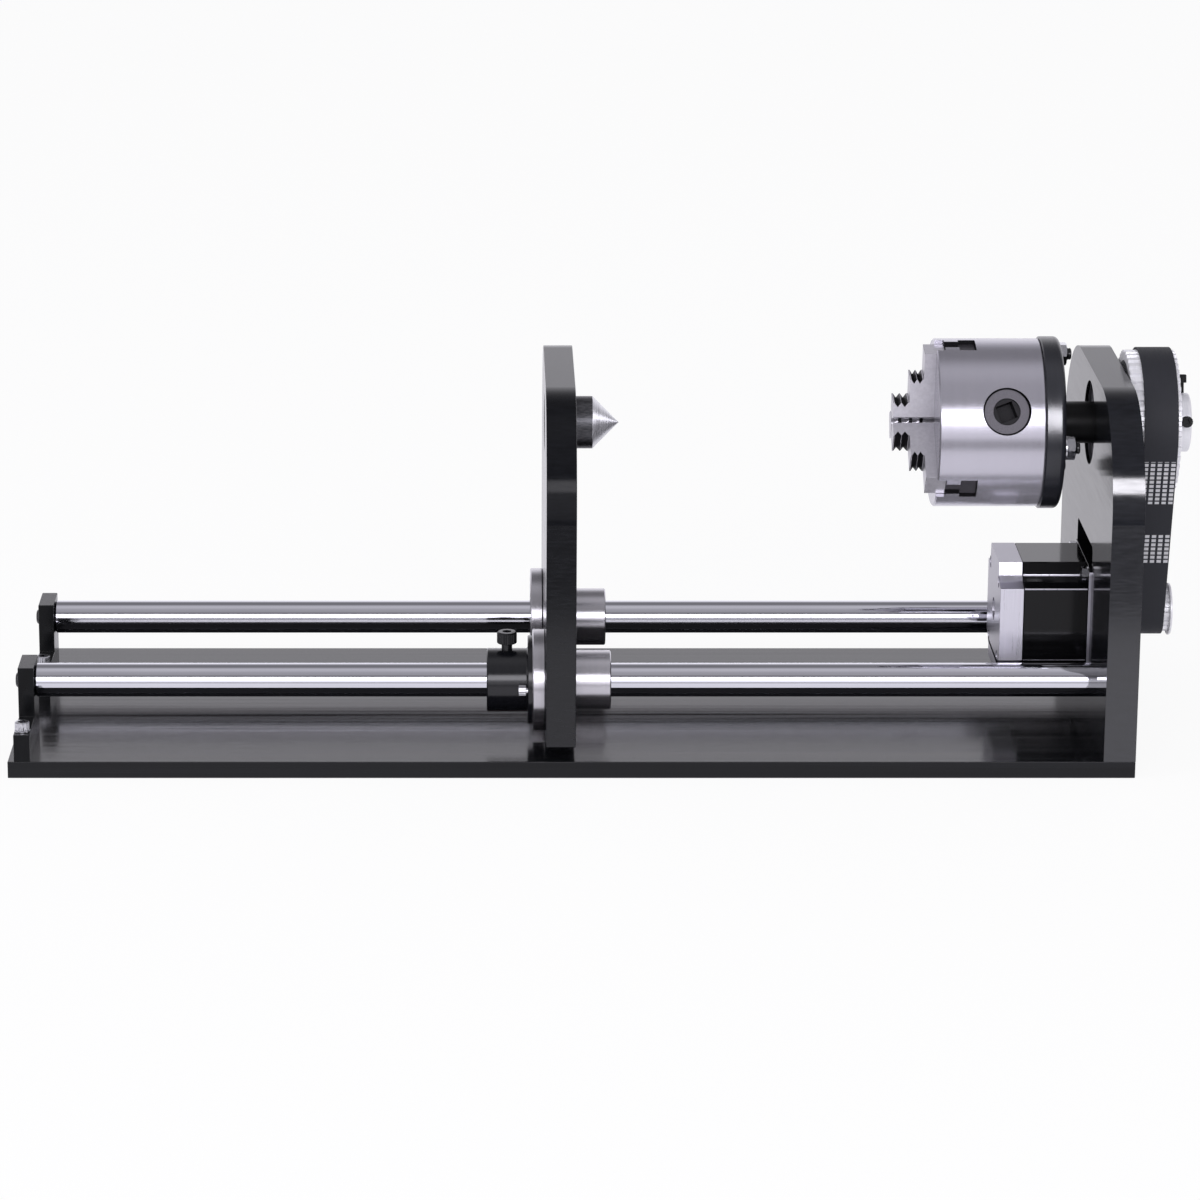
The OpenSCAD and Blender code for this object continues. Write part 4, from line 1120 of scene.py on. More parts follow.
@dataclass
class Chuck:
    """The three-jaw chuck with its backplate, pinions and jaws. Sizes in mm, angles in degrees."""

    bore: float = 16.0
    edge: float = 0.7
    phase: float = 21.0
    jaw_phase: float = 81.0
    stud_phase: float = -8.0
    stud_circle: float = 33.0
    slot_wide: float = 12.8
    slot_neck: float = 7.2
    slot_mouth: float = 4.4
    slot_neck_end: float = 11.0
    slot_depth: float = 19.0
    pinion: float = 22.0
    pinion_gap: float = 0.35
    pinion_depth: float = 31.6
    pinion_floor: float = 26.0
    head_depth: float = 11.0
    stem: tuple[Point, ...] = ((-23.5, 3.0), (-23.5, 7.4), (-22.5, 8.0), (-11.2, 8.0), (-10.8, 6.0))
    mouth: float = 12.6
    mouth_depth: float = 1.6
    square: float = 8.0
    key_depth: float = 12.0
    jaw_width: float = 12.4
    jaw_neck: float = 6.8
    jaw_gap: float = 0.2
    jaw_heights: tuple[float, float, float] = (19.4, 11.8, 5.3)
    jaw_reaches: tuple[float, float, float] = (11.0, 23.0, 36.0)
    jaw_open: float = 1.5
    groove: float = 2.2
    land: float = 0.5
    notch: float = 1.6
    notch_depth: float = 1.7
    tip_notches: tuple[float, float, float] = (4.2, 9.3, 14.3)
    nut: HexNut = HexNut(10.0, 4.0, 6.0)
    washer_hole: float = 6.1
    washer_wide: float = 11.6

    def __post_init__(self) -> None:
        """Reads the places of the chuck from the frame."""
        self.span = Span.of("chuck_body")
        self.centre = (self.span.centre.y, self.span.centre.z)
        self.face = self.span.low.x

    def slot(self, start: float, end: float, width: float) -> Piece:
        """Models the tool for one stretch of a jaw slot, towards the front.

        Args:
            start: Depth where it starts.
            end: Depth where it ends.
            width: Its width.

        Returns:
            The tool.
        """
        y, z = self.centre
        half = width / 2 * MM
        low = (self.face + start * MM, y - self.span.size.z / 2 - 2 * PAST, z - half)
        high = (self.face + end * MM, y, z + half)
        return Piece.block("slot", low, high)

    def body(self) -> Piece:
        """Models the chuck body with its bore, jaw slots and pinion holes."""
        radius, bore = self.span.size.z / 2, self.bore / 2 * MM
        low, high = self.span.low.x, self.span.high.x
        outline = [(low, bore), *chamfered(low, high, radius, self.edge * MM), (high, bore)]
        body = Piece.turned("chuck_shell", outline, self.centre, 180, Form.RING)
        stretches = (
            (-1.0, self.slot_mouth, self.slot_wide),
            (0.0, self.slot_depth, self.slot_neck),
            (self.slot_neck_end, self.slot_depth, self.slot_wide),
        )
        for i in range(3):
            for start, end, width in stretches:
                tool = self.slot(start, end, width)
                body.combine(tool.place(about_axis(self.jaw_phase + 120 * i, self.centre)))
            hole = Piece.prism("pinion_hole", 96, (self.pinion + 2 * self.pinion_gap) * MM, (0, 0, 0), radius)
            body.combine(hole.place(self.pinion_place(i, self.pinion_floor * MM)))
        body.soften(0.25 * MM, 2, 35)
        y, z = self.centre

        def shaded_inside(face: bmesh.types.BMFace) -> bool:
            """Picks the insides of the bore, the slots and the pinion holes, which get painted shade.

            Args:
                face: The face.

            Returns:
                Whether it is picked.
            """
            middle = face.calc_center_median()
            deep = math.hypot(middle.y - y, middle.z - z) < radius - 0.5 * MM
            return deep and low + 2.0 * MM < middle.x < high - 0.1 * MM

        # The insides get painted shade
        body.coat(GROUND_STEEL).paint(shaded_inside, SHADED_STEEL)
        return body.dress(GROUND_STEEL, "spindle", "chuck_body")

    def pinion_place(self, index: int, reach: float) -> Matrix:
        """Returns a place on a pinion's axis, facing out.

        Args:
            index: 0, 1 or 2 for the pinion.
            reach: Distance from the chuck's axis, in metres.

        Returns:
            The matrix.
        """
        direction = outward(self.phase + 120 * index)
        return aim(Vector((self.face + self.pinion_depth * MM, *self.centre)) + direction * reach, direction)

    def pinions(self) -> None:
        """Models the three pinion ends with their square key sockets."""
        radius, edge, side = self.pinion / 2 * MM, 0.5 * MM, self.square / 2 * MM
        reach = math.sqrt((self.span.size.z / 2) ** 2 - radius**2) - 0.2 * MM

        def socket(face: bmesh.types.BMFace) -> bool:
            """Picks the inside of the key socket, which gets painted shade.

            Args:
                face: The face.

            Returns:
                Whether it is picked.
            """
            middle = face.calc_center_median()
            inside = math.hypot(middle.y, middle.z) < self.mouth / 2 * MM + NEAR
            return inside and -self.key_depth * MM < middle.x < -0.4 * MM

        def rim(face: bmesh.types.BMFace) -> bool:
            """Picks the outer wall and its chamfer, painted shade that widens the dark ring round the head."""
            return math.hypot(*face.calc_center_median().yz) > radius - 0.4 * MM

        for i in range(3):
            node = f"pinion_{i + 1}"
            outline = [(-self.head_depth * MM, radius), (-edge, radius), (0.0, radius - edge)]
            head = Piece.turned(f"pinion_head_{i + 1}", outline, segments=96)
            head.combine(Piece.prism("mouth", 64, self.mouth * MM, (-self.mouth_depth * MM, 0, 0), 10 * MM))
            square = Piece.block("square", (-self.key_depth * 0.8 * MM, -side, -side), (PAST, side, side))
            head.combine(square).soften(0.2 * MM)
            head.add(Piece.turned("stem", [(x * MM, r * MM) for x, r in self.stem], segments=64))
            # The key socket and the rim get painted shade
            head.coat(PINION_STEEL).paint(socket, SHADED_STEEL).paint(rim, SHADED_STEEL)
            head.place(self.pinion_place(i, reach)).dress(PINION_STEEL, node, node)

    def jaw(self) -> Piece:
        """Models one jaw towards the front: three steps, a T-shaped root, a pointed end and grooved faces."""
        y, z = self.centre
        reach = [r * MM for r in self.jaw_reaches]
        height = [h * MM for h in self.jaw_heights]
        half, root = self.jaw_width / 2 * MM, (self.slot_depth - self.jaw_gap) * MM
        tip, past, wide = self.face - height[0], -reach[2] - PAST, 20 * MM
        jaw = Piece.block("jaw", (tip, -reach[2], -half), (self.face + root, 0, half))
        for inner, top in ((reach[0], height[1]), (reach[1], height[2])):
            jaw.combine(Piece.block("step", (tip - PAST, past, -wide), (self.face - top, -inner, wide)))
        neck = self.jaw_neck / 2 * MM
        start, end = (self.slot_mouth - self.jaw_gap) * MM, (self.slot_neck_end + self.jaw_gap) * MM
        for side in (-1, 1):
            low = (self.face + start, past, min(side * neck, side * wide))
            high = (self.face + end, PAST, max(side * neck, side * wide))
            jaw.combine(Piece.block("neck", low, high))
            slope = Vector((0, math.sin(math.radians(60)), side * math.cos(math.radians(60))))
            jaw.slice((self.face, 0, 0), slope)
        jaw.slice((self.face, -0.6 * MM, 0), (0, 1, 0))
        for inner, top, bottom in ((reach[0], height[0], height[1]), (reach[1], height[1], height[2])):
            pitch = (top - bottom - 2 * self.land * MM) / 2
            half, deep = pitch / 2 - 0.1 * MM, self.groove * MM
            for k in range(2):
                x = self.face - top + self.land * MM + pitch * (k + 0.5)
                tool = Piece.block("groove", (x - pitch, -0.1 * MM, -wide), (x + pitch, 2 * deep, wide))
                tool.slice((x - half, 0, 0), (-deep, half, 0))
                tool.slice((x + half, 0, 0), (deep, half, 0))
                jaw.combine(tool.place(Matrix.Translation((0, -inner, 0))))
        for x in self.tip_notches:
            low = (tip + (x - self.notch / 2) * MM, -self.notch_depth * MM, -wide)
            high = (tip + (x + self.notch / 2) * MM, PAST, wide)
            jaw.combine(Piece.block("notch", low, high))
        jaw.soften(0.12 * MM, 2, 40).slice((self.face + start, 0, 0), (1, 0, 0), away=False)

        def dark(face: bmesh.types.BMFace) -> bool:
            """Picks the grooves and the notches, which get painted shade.

            Args:
                face: The face.

            Returns:
                Whether it is picked.
            """
            middle, normal = face.calc_center_median(), face.normal
            grooved = abs(normal.x) > 0.3 and abs(normal.y) > 0.3 and middle.y < -reach[0] + 3 * MM
            notched = middle.y > -1.8 * MM and abs(normal.z) < 0.1 and middle.y < -0.8 * MM
            return grooved or notched

        # Painted shade: dark steel in the grooves and notches, and the duller pinion steel on the root inside the slot
        jaw.coat(JAW_STEEL).paint(dark, SHADED_STEEL)
        jaw.paint(lambda face: face.calc_center_median().x > self.face + start, PINION_STEEL)
        return jaw.place(Matrix.Translation((0, y - self.jaw_open * MM, z)))

    def jaws(self) -> None:
        """Models the first jaw and copies it for the others."""
        first = self.jaw()
        shape = first.obj.data.copy()
        for i in range(3):
            node = f"jaw_{i + 1}"
            if i:
                twin = bpy.data.objects.new(node, shape.copy())
                bpy.context.scene.collection.objects.link(twin)
                bpy.context.view_layer.objects.active = twin
                piece = Piece(f"stepped_jaw_{i + 1}")
            else:
                piece = first
                piece.name = piece.obj.name = "stepped_jaw_1"
            piece.place(about_axis(self.jaw_phase + 120 * i, self.centre))
            piece.dress(JAW_STEEL, node, node)

    def backplate(self) -> Piece:
        """Models the backplate with its rounded rear edge."""
        span = Span.of("chuck_backplate")
        radius, spindle = span.size.z / 2, Span.of("spindle_tube").size.z / 2
        front, back, edge, fillet = self.span.high.x, span.high.x, 0.5 * MM, 2.5 * MM
        outline = [(front, spindle), (front, radius - edge), (front + edge, radius)]
        outline += round_corner(back - fillet, radius - fillet, fillet, 90, 0, 8)
        outline += [(back, spindle)]
        plate = Piece.turned("chuck_back_plate", outline, self.centre, 180, Form.RING)
        return plate.dress(BLACK_STEEL, "spindle", "chuck_backplate")

    def studs(self) -> None:
        """Models the studs with their washers and nuts."""
        back = Span.of("chuck_backplate").high.x
        end = Span.of("chuck_studs").high.x
        washer = Span.of("chuck_washers").size.x
        centre = Vector((0, *self.centre))
        spots = [centre + outward(self.stud_phase + 120 * i) * self.stud_circle * MM for i in range(3)]

        def behind(x: float) -> list[Matrix]:
            """Returns the places on the stud circle at X."""
            return [Matrix.Translation((x, spot.y, spot.z)) for spot in spots]

        radius, reach = self.nut.hole / 2 * MM, end - back
        thread = [(0.0, radius)]
        for i in range(int((reach - 1.2 * MM) / MM)):
            thread += [((i + 0.25) * MM, radius), ((i + 0.75) * MM, radius * 0.9)]
        thread += [(reach - 0.5 * MM, radius * 0.95), (reach, radius * 0.75)]
        stud = Piece.turned("backplate_studs", thread, segments=48)
        stud.copies(behind(back)).dress(BLACK_OXIDE, "spindle", "chuck_studs")
        hole, wide, edge = self.washer_hole / 2 * MM, self.washer_wide / 2 * MM, 0.2 * MM
        outline = [(0.0, hole), (0.0, wide - edge), (edge, wide), (washer, wide), (washer, hole)]
        ring = Piece.turned("stud_washers", outline, segments=64, form=Form.RING)
        ring.copies(behind(back)).dress(ZINC, "spindle", "chuck_washers")
        nuts = self.nut.model("stud_nuts")
        nuts.copies(behind(back + washer)).dress(ZINC, "spindle", "chuck_nuts")

    def build(self) -> None:
        """Builds all the pieces of the chuck."""
        self.body()
        self.pinions()
        self.jaws()
        self.backplate()
        self.studs()


@dataclass
class BeltDrive:
    """The spindle pulley, the drive pulley and the timing belt. Sizes in mm."""

    teeth: int = 44
    drive_teeth: int = 14
    pitch: float = 5.0
    tip_drop: float = 0.415
    tooth_height: float = 1.3
    hub: float = 28.0
    hub_length: float = 7.7
    recess: float = 3.0
    rim: float = 5.0
    belt_back: float = 1.0
    belt_tooth: float = 1.2
    tooth_half: float = 1.3
    run_ends: float = 14.5
    run_start: float = 9.2
    set_phase: float = 14.0
    set_rise: float = 4.8
    plate_gap: float = 1.0
    flange: float = 1.3
    drive_length: float = 19.2
    drive_hub: float = 17.0
    set_screw: CapScrew = CapScrew(3.0, 8.8, 5.5, 4.0, 2.5, 18)

    def toothed(self, name: str, start: float, end: float, teeth: int, centre: Point) -> Piece:
        """Models a toothed disc: a fine circle whose gaps are drawn in, then drawn out along X.

        Args:
            name: Name of the piece.
            start: Its left end, in metres.
            end: Its right end.
            teeth: How many teeth it has.
            centre: Y and Z of its axis.

        Returns:
            The disc.
        """
        tip = (teeth * self.pitch / (2 * math.pi) - self.tip_drop) * MM
        steps = 10
        disc = Piece.prism(name, teeth * steps, 2 * tip, (start, *centre), end - start)

        def gap(vert: bmesh.types.BMVert) -> bool:
            """Picks the vertices between two teeth."""
            angle = math.atan2(vert.co.z - centre[1], vert.co.y - centre[0])
            return 3 <= round(angle / (2 * math.pi) * teeth * steps) % steps <= 7

        return disc.spread(gap, 1 - self.tooth_height * MM / tip, (start, *centre))

    def spindle_pulley(self) -> Piece:
        """Models the large pulley with its recessed sides and its hub."""
        span = Span.of("spindle_pulley")
        centre = (span.centre.y, span.centre.z)
        left = Span.of("headstock_plate").high.x + self.plate_gap * MM
        right = span.high.x - self.hub_length * MM
        pulley = self.toothed("spindle_timing_pulley", left, right, self.teeth, centre)
        tip = span.size.z / 2 - self.rim * MM
        hub, bore, deep = self.hub / 2 * MM, Span.of("spindle_tube").size.z / 2, self.recess * MM
        for low, high in ((left - PAST, left + deep), (right - deep, right + PAST)):
            ring = [(low, hub), (low, tip), (high, tip), (high, hub)]
            pulley.combine(Piece.turned("recess", ring, centre, 128, Form.RING))
        end, edge = span.high.x, 0.6 * MM
        outline = [(right - deep, bore), (right - deep, hub), (end - edge, hub), (end, hub - edge), (end, bore)]
        hub_ring = Piece.turned("hub", outline, centre, 128, Form.RING)
        pulley.combine(Piece.prism("bore", 96, 2 * bore, (left - 10 * MM, *centre), 60 * MM))
        pulley.combine(hub_ring, Cut.JOIN).soften(0.12 * MM, 1, 40)
        return pulley.dress(MACHINED_ALUMINIUM, "spindle", "spindle_pulley", smooth=25)

    def set_screws(self) -> Piece:
        """Models the two cap screws that hold the hub."""
        span = Span.of("pulley_set_screws")
        pulley = Span.of("spindle_pulley")
        seat = (self.hub / 2 + self.set_rise) * MM
        axis = Vector((span.centre.x, pulley.centre.y, pulley.centre.z))
        ways = [outward(self.set_phase + 90 * i) for i in (0, 1)]
        places = [aim(axis + way * seat, way) for way in ways]
        screws = self.set_screw.model("hub_set_screws").copies(places)
        return screws.dress(SPINDLE_STEEL, "spindle", "pulley_set_screws")

    def drive_pulley(self) -> Piece:
        """Models the small pulley with its two flanges and its hub."""
        span = Span.of("drive_pulley")
        centre = (span.centre.y, span.centre.z)
        flange, thick, bore = span.size.z / 2, self.flange * MM, Span.of("motor_shaft").size.z / 2
        right = span.high.x - thick
        left = right - self.drive_length * MM
        pulley = self.toothed("drive_timing_pulley", left, right, self.drive_teeth, centre)
        for low, high in ((left - thick, left), (right, span.high.x)):
            rim = [(low, bore), *chamfered(low, high, flange, 0.3 * MM), (high, bore)]
            pulley.add(Piece.turned("flange", rim, centre, 96, Form.RING))
        start, end, wide = span.low.x, left - thick, self.drive_hub / 2 * MM
        hub = [(start, bore), (start, wide), (end, wide), (end, bore)]
        pulley.add(Piece.turned("hub", hub, centre, 96, Form.RING))
        return pulley.dress(MACHINED_ALUMINIUM, "motor_rotor", "drive_pulley", smooth=25)

    def belt(self) -> Piece:
        """Models the belt as one loop with the teeth of its two straight runs."""
        span = Span.of("timing_belt")
        top = Span.of("spindle_pulley").centre
        low_z = Span.of("motor_shaft").centre.z
        big, small, centres = span.high.z - top.z, low_z - span.low.z, top.z - low_z
        lean = math.asin((big - small) / centres)
        start = (span.low.x, top.y, top.z)
        bpy.ops.object.select_all(action="DESELECT")
        bpy.ops.mesh.primitive_circle_add(
            vertices=240, radius=big, fill_type="NOTHING", location=start, rotation=(0, math.pi / 2, 0)
        )
        belt = Piece("toothed_belt")
        limit = top.z - big * math.sin(lean) - NEAR
        belt.spread(lambda vert: vert.co.z < limit, small / big, start)
        belt.move(lambda vert: math.hypot(vert.co.y, vert.co.z - top.z) < big - 10 * NEAR, (0, 0, -centres))
        belt.pick(Element.EDGE, lambda edge: True)
        bpy.ops.mesh.extrude_region_move(TRANSFORM_OT_translate={"value": (span.size.x, 0, 0)})
        belt.leave_edit().face_out()
        modifier = belt.obj.modifiers.new("thickness", "SOLIDIFY")
        modifier.thickness = self.belt_back * MM
        modifier.offset = -1
        modifier.use_even_offset = True
        bpy.ops.object.modifier_apply(modifier=modifier.name)
        belt.face_out().soften(0.15 * MM, 1, 40)
        run, pitch, half = (centres * math.cos(lean) - self.run_ends * MM), self.pitch * MM, self.tooth_half * MM
        count = int((run - 2 * half) / pitch) + 1
        first = self.run_start * MM + (run - (count - 1) * pitch) / 2
        inner = big - self.belt_back * MM
        low = (span.low.x, inner - self.belt_tooth * MM, -half)
        tooth = Piece.block("tooth", low, (span.high.x, inner + 0.3 * MM, half))
        tooth.round_edges(along_x(lambda middle: middle.y < inner - 1.0 * MM), 0.5 * MM, 3)
        places = []
        for side in (1, -1):
            run_place = Matrix.Translation((0, top.y, top.z)) @ Matrix.Diagonal((1, side, 1, 1))
            run_place @= Matrix.Rotation(-lean, 4, "X")
            places += [run_place @ Matrix.Translation((0, 0, -first - i * pitch)) for i in range(count)]
        belt.add(tooth.copies(places).face_out())
        return belt.dress(BELT_RUBBER, "frame", "timing_belt")

    def build(self) -> None:
        """Builds all the pieces of the belt drive."""
        self.spindle_pulley()
        self.set_screws()
        self.drive_pulley()
        self.belt()


@dataclass
class Motor:
    """The stepper motor that drives the belt. Sizes in mm."""

    flat: float = 35.4
    notch_side: float = 1.5
    notch_down: float = 6.2
    edge: float = 0.3
    corner: float = 4.0
    recess: float = 11.0
    recess_depth: float = 2.0
    pilot: float = 1.6
    pilot_wide: float = 38.1
    pilot_hole: float = 6.6
    case_head: float = 1.6
    case_head_wide: float = 5.5
    mount_screw: CapScrew = CapScrew(4.0, 20.0, 7.0, 4.0, 3.0)

    def notched(self, name: str, span: Span) -> Piece:
        """Models a square block with a notch along each corner.

        Args:
            name: Name of the piece.
            span: Its box.

        Returns:
            The block.
        """
        half, inner = span.size.y / 2, self.flat / 2 * MM
        cut = half - inner
        block = Piece.block(name, span.low, span.high)
        block.round_edges(along_x(), cut, 3)
        arc = (inner + cut * math.sin(math.radians(30)), inner + cut * math.cos(math.radians(30)))
        goal = (inner + self.notch_side * MM, half - self.notch_down * MM)
        for sy in (-1, 1):
            for sz in (-1, 1):
                for swap in (0, 1):
                    here = (arc[1], arc[0]) if swap else arc
                    there = (goal[1], goal[0]) if swap else goal
                    spot = Vector((span.centre.y + sy * here[0], span.centre.z + sz * here[1]))
                    block.move(
                        lambda vert: (vert.co.yz - spot).length < 0.4 * MM,
                        (0, sy * (there[0] - here[0]), sz * (there[1] - here[1])),
                    )
        return block

    def rear_cap(self) -> Piece:
        """Models the rear cap with its notched corners, shaft recess and screw seats."""
        span = Span.of("motor_rear_cap")
        cap = self.notched("motor_rear_cover", span)
        start = (span.low.x - PAST, span.centre.y, span.centre.z)
        cap.combine(Piece.prism("recess", 64, self.recess * MM, start, self.recess_depth * MM + PAST))
        case = Span.of("motor_case_screws")
        reach = case.size.y / 2 - self.case_head_wide / 2 * MM
        depth = case.low.x + self.case_head * MM - span.low.x
        for y, z in four_corners(reach):
            spot = (span.low.x - PAST, span.centre.y + y, span.centre.z + z)
            cap.combine(Piece.prism("screw_seat", 48, (self.case_head_wide + 0.4) * MM, spot, depth + PAST))
        cap.soften(self.edge * MM).coat(CAST_ALUMINIUM)
        # Painted light: the front and back flats get the brighter aluminium
        cap.paint(lambda face: abs(face.normal.y) > 0.9 and abs(face.normal.x) < 0.1, LIT_ALUMINIUM)
        return cap.dress(CAST_ALUMINIUM, "frame", "motor_rear_cap")

    def stack(self) -> Piece:
        """Models the stack of sheets, with painted highlights on its notch edges and painted shade on the notch walls.
        """
        stack = self.notched("motor_sheet_stack", Span.of("motor_stack"))
        stack.soften(0.45 * MM, 1, 20).coat(MOTOR_PAINT)
        # Painted shade on the notch walls, and painted highlights on the bevels along their edges
        stack.paint(lambda face: 0.96 < abs(face.normal.y) < 0.98, SHADED_PAINT)
        stack.paint(lambda face: 0.75 < abs(face.normal.y) < 0.9 and abs(face.normal.x) < 0.1, LIT_ALUMINIUM)
        return stack.dress(MOTOR_PAINT, "frame", "motor_stack")

    def front_cap(self) -> Piece:
        """Models the square front cap with its round pilot."""
        span = Span.of("motor_front_cap")
        face, end = span.high.x - self.pilot * MM, span.high.x
        cap = Piece.block("motor_front_flange", span.low, (face, span.high.y, span.high.z))
        cap.round_edges(along_x(), self.corner * MM, 8).soften(self.edge * MM)
        wide, hole = self.pilot_wide / 2 * MM, self.pilot_hole / 2 * MM
        ring = [(face - PAST, hole), (face - PAST, wide), (end, wide), (end, hole)]
        cap.add(Piece.turned("pilot", ring, (span.centre.y, span.centre.z), 96, Form.RING))
        cap.coat(MOTOR_PAINT).paint(lambda face: abs(face.normal.y) > 0.9 or face.normal.x > 0.9, CAST_ALUMINIUM)
        return cap.dress(CAST_ALUMINIUM, "frame", "motor_front_cap")

    def screws(self) -> None:
        """Models the case screws, the mounting screws and their nuts."""
        case, head = Span.of("motor_case_screws"), self.case_head_wide / 2 * MM
        screw = ButtonScrew(self.case_head, 2.4, 0.2, 0.3).model("motor_cover_screws", head)
        middle = Vector((case.low.x + self.case_head * MM, case.centre.y, case.centre.z))
        corners = four_corners(case.size.y / 2 - head)
        screw.copies([aim(middle + Vector((0, *corner)), (-1, 0, 0)) for corner in corners])
        screw.dress(ZINC, "frame", "motor_case_screws")
        mount, nut = Span.of("motor_mount_screws"), Span.of("motor_mount_nuts")
        middle = Vector((Span.of("headstock_plate").high.x, mount.centre.y, mount.centre.z))
        corners = four_corners(mount.size.y / 2 - self.mount_screw.head / 2 * MM)
        screws = self.mount_screw.model("motor_cap_screws")
        screws.copies([aim(middle + Vector((0, *corner)), (1, 0, 0)) for corner in corners])
        screws.dress(BLACK_OXIDE, "frame", "motor_mount_screws")
        middle.x = nut.low.x
        nuts = HexNut(7.0, nut.size.x / MM, 4.0).model("motor_flange_nuts")
        nuts.copies([Matrix.Translation(middle + Vector((0, *corner))) for corner in corners])
        nuts.dress(ZINC, "frame", "motor_mount_nuts")

    def build(self) -> None:
        """Builds all the pieces of the motor."""
        self.rear_cap()
        self.stack()
        self.front_cap()
        self.screws()


@dataclass
class Tailstock:
    """The sliding plate with its bushings, lock collar and live centre. Sizes in mm."""

    corner: float = 53.0
    edge: float = 0.3
    flange: float = 6.0
    flange_screw: CapScrew = CapScrew(4.0, 6.0, 7.0, 3.8, 3.0)
    collar_screw: CapScrew = CapScrew(3.0, 3.0, 5.6, 3.8, 2.5, 18)
    lock_screw: CapScrew = CapScrew(5.0, 9.9, 9.4, 5.6, 4.0, 28)
    collar_flange: float = 2.2
    straight: float = 8.5
    screw_circle: float = 38.0
    screw_seat: float = 2.0
    seat: float = 28.0
    lip: float = 22.0
    bushing_body: float = 28.0
    bushing_bore: float = 24.0
    counterbore: float = 7.4
    collar_body: float = 30.0
    wiper: tuple[Point, ...] = ((0.1, 8.25), (0.1, 10.0), (0.0, 10.4), (0.0, 12.0), (1.5, 12.0), (1.5, 8.25))

    def __post_init__(self) -> None:
        """Reads the places of the tailstock from the frame."""
        self.plate_span = Span.of("tailstock_plate")
        self.rail = Span.of("front_rail")

    def plate(self) -> Piece:
        """Models the plate with the hole behind the centre."""
        span = self.plate_span
        axis = Span.of("live_centre").centre
        plate = upright_plate("tailstock_side_plate", span, self.corner * MM)
        end, seat, lip = Span.of("centre_bearing_outer").high.x, self.seat / 2 * MM, self.lip / 2 * MM
        hole = [(span.low.x - PAST, seat), (end, seat), (end, lip), (span.high.x + PAST, lip)]
        plate.combine(Piece.turned("centre_hole", hole, (axis.y, axis.z), 96)).soften(self.edge * MM)
        # Painted sheen on the flat front
        plate.coat(PLATE_ANODISED).paint(front_of(span), TAIL_SHEEN_ANODISED)
        return plate.dress(PLATE_ANODISED, "tailstock", "tailstock_plate")

    def bushing(self, node: str, name: str) -> Piece:
        """Models one flanged linear bushing.

        Args:
            node: The CAD node of the bushing.
            name: Name of the piece.

        Returns:
            The bushing.
        """
        span = Span.of(node)
        centre = (span.centre.y, span.centre.z)
        wide, body, bore = span.size.z / 2, self.bushing_body / 2 * MM, self.bushing_bore / 2 * MM
        left, step, right, edge = span.low.x, span.low.x + self.flange * MM, span.high.x, 0.5 * MM
        outline = [(left, bore), *chamfered(left, step, wide, edge)]
        outline += [(step, body), (right - edge, body), (right, body - edge), (right, bore)]
        shell = Piece.turned(name, outline, centre, 128, Form.RING)
        for spot in self.screw_spots(left - PAST, *centre):
            shell.combine(Piece.prism("counterbore", 48, self.counterbore * MM, spot, 4 * MM + PAST))
        return shell.soften(0.12 * MM, 1, 50).dress(BUSHING_STEEL, "tailstock", node)

    def screw_spots(self, x: float, y: float, z: float) -> list[Vector]:
        """Returns the places of the four screws round a bushing's axis through this point."""
        return [Vector((x, y, z)) + outward(45 + 90 * i) * self.screw_circle / 2 * MM for i in range(4)]

    def seals(self) -> Piece:
        """Models the rubber wipers at both ends of the bushings."""
        span = Span.of("bushing_seals")
        ring = Piece.turned(
            "bushing_wipers", [(x * MM, r * MM) for x, r in self.wiper], segments=96, form=Form.RING
        )
        places = []
        for side in (-1, 1):
            centre = (side * self.rail.centre.y, self.rail.centre.z)
            places.append(Matrix.Translation((span.low.x, *centre)))
            places.append(aim((span.high.x, *centre), (-1, 0, 0)))
        return ring.copies(places).dress(RUBBER, "tailstock", "bushing_seals")

    def flange_screws(self) -> Piece:
        """Models the screws in the bushing flanges."""
        seat, rail = self.plate_span.low.x - self.screw_seat * MM, self.rail.centre
        spots = [spot for side in (-1, 1) for spot in self.screw_spots(seat, side * rail.y, rail.z)]
        screws = self.flange_screw.model("bushing_cap_screws").copies([aim(spot, (-1, 0, 0)) for spot in spots])
        return screws.dress(BLACK_OXIDE, "tailstock", "bushing_screws")

    def collar(self) -> None:
        """Models the lock collar, its two flange screws and the lock screw."""
        span = Span.of("lock_collar")
        centre = (self.rail.centre.y, self.rail.centre.z)
        wide, body, bore = span.size.y / 2, self.collar_body / 2 * MM, self.rail.size.z / 2 + 0.05 * MM
        start, end, step = span.low.x, span.high.x, span.high.x - self.collar_flange * MM
        edge, fillet, rim = 0.5 * MM, 0.8 * MM, 0.3 * MM
        outline = [(start, bore + edge), (start, body - edge), (start + edge, body)]
        outline += round_corner(step - fillet, body + fillet, fillet, 270, 360, 4)
        outline += [(step, wide - rim), (step + rim, wide), (end, wide), (end, bore)]
        ring = Piece.turned("rail_lock_collar", outline, centre, 128, Form.RING)
        screw = Span.of("lock_screw")
        hole = Piece.prism("screw_hole", 48, 5.2 * MM, (0, 0, 0), 20 * MM)
        ring.combine(hole.place(aim((screw.centre.x, screw.centre.y, centre[1]), (0, 0, 1))))
        ring.soften(0.2 * MM, 2, 50).dress(COLLAR_STEEL, "tailstock", "lock_collar")
        seat = (screw.centre.x, screw.centre.y, screw.high.z - self.lock_screw.head_height * MM)
        lock = self.lock_screw.model("lock_cap_screw").place(aim(seat, (0, 0, 1)))
        lock.dress(BLACK_OXIDE, "lock_screw", "lock_screw")
        small = Span.of("collar_screws")
        reach = small.size.y / 2 - self.collar_screw.head / 2 * MM
        seat = small.low.x + self.collar_screw.head_height * MM
        screws = self.collar_screw.model("collar_flange_screws")
        screws.copies([aim((seat, small.centre.y + s * reach, small.centre.z), (-1, 0, 0)) for s in (-1, 1)])
        screws.dress(ZINC, "tailstock", "collar_screws")

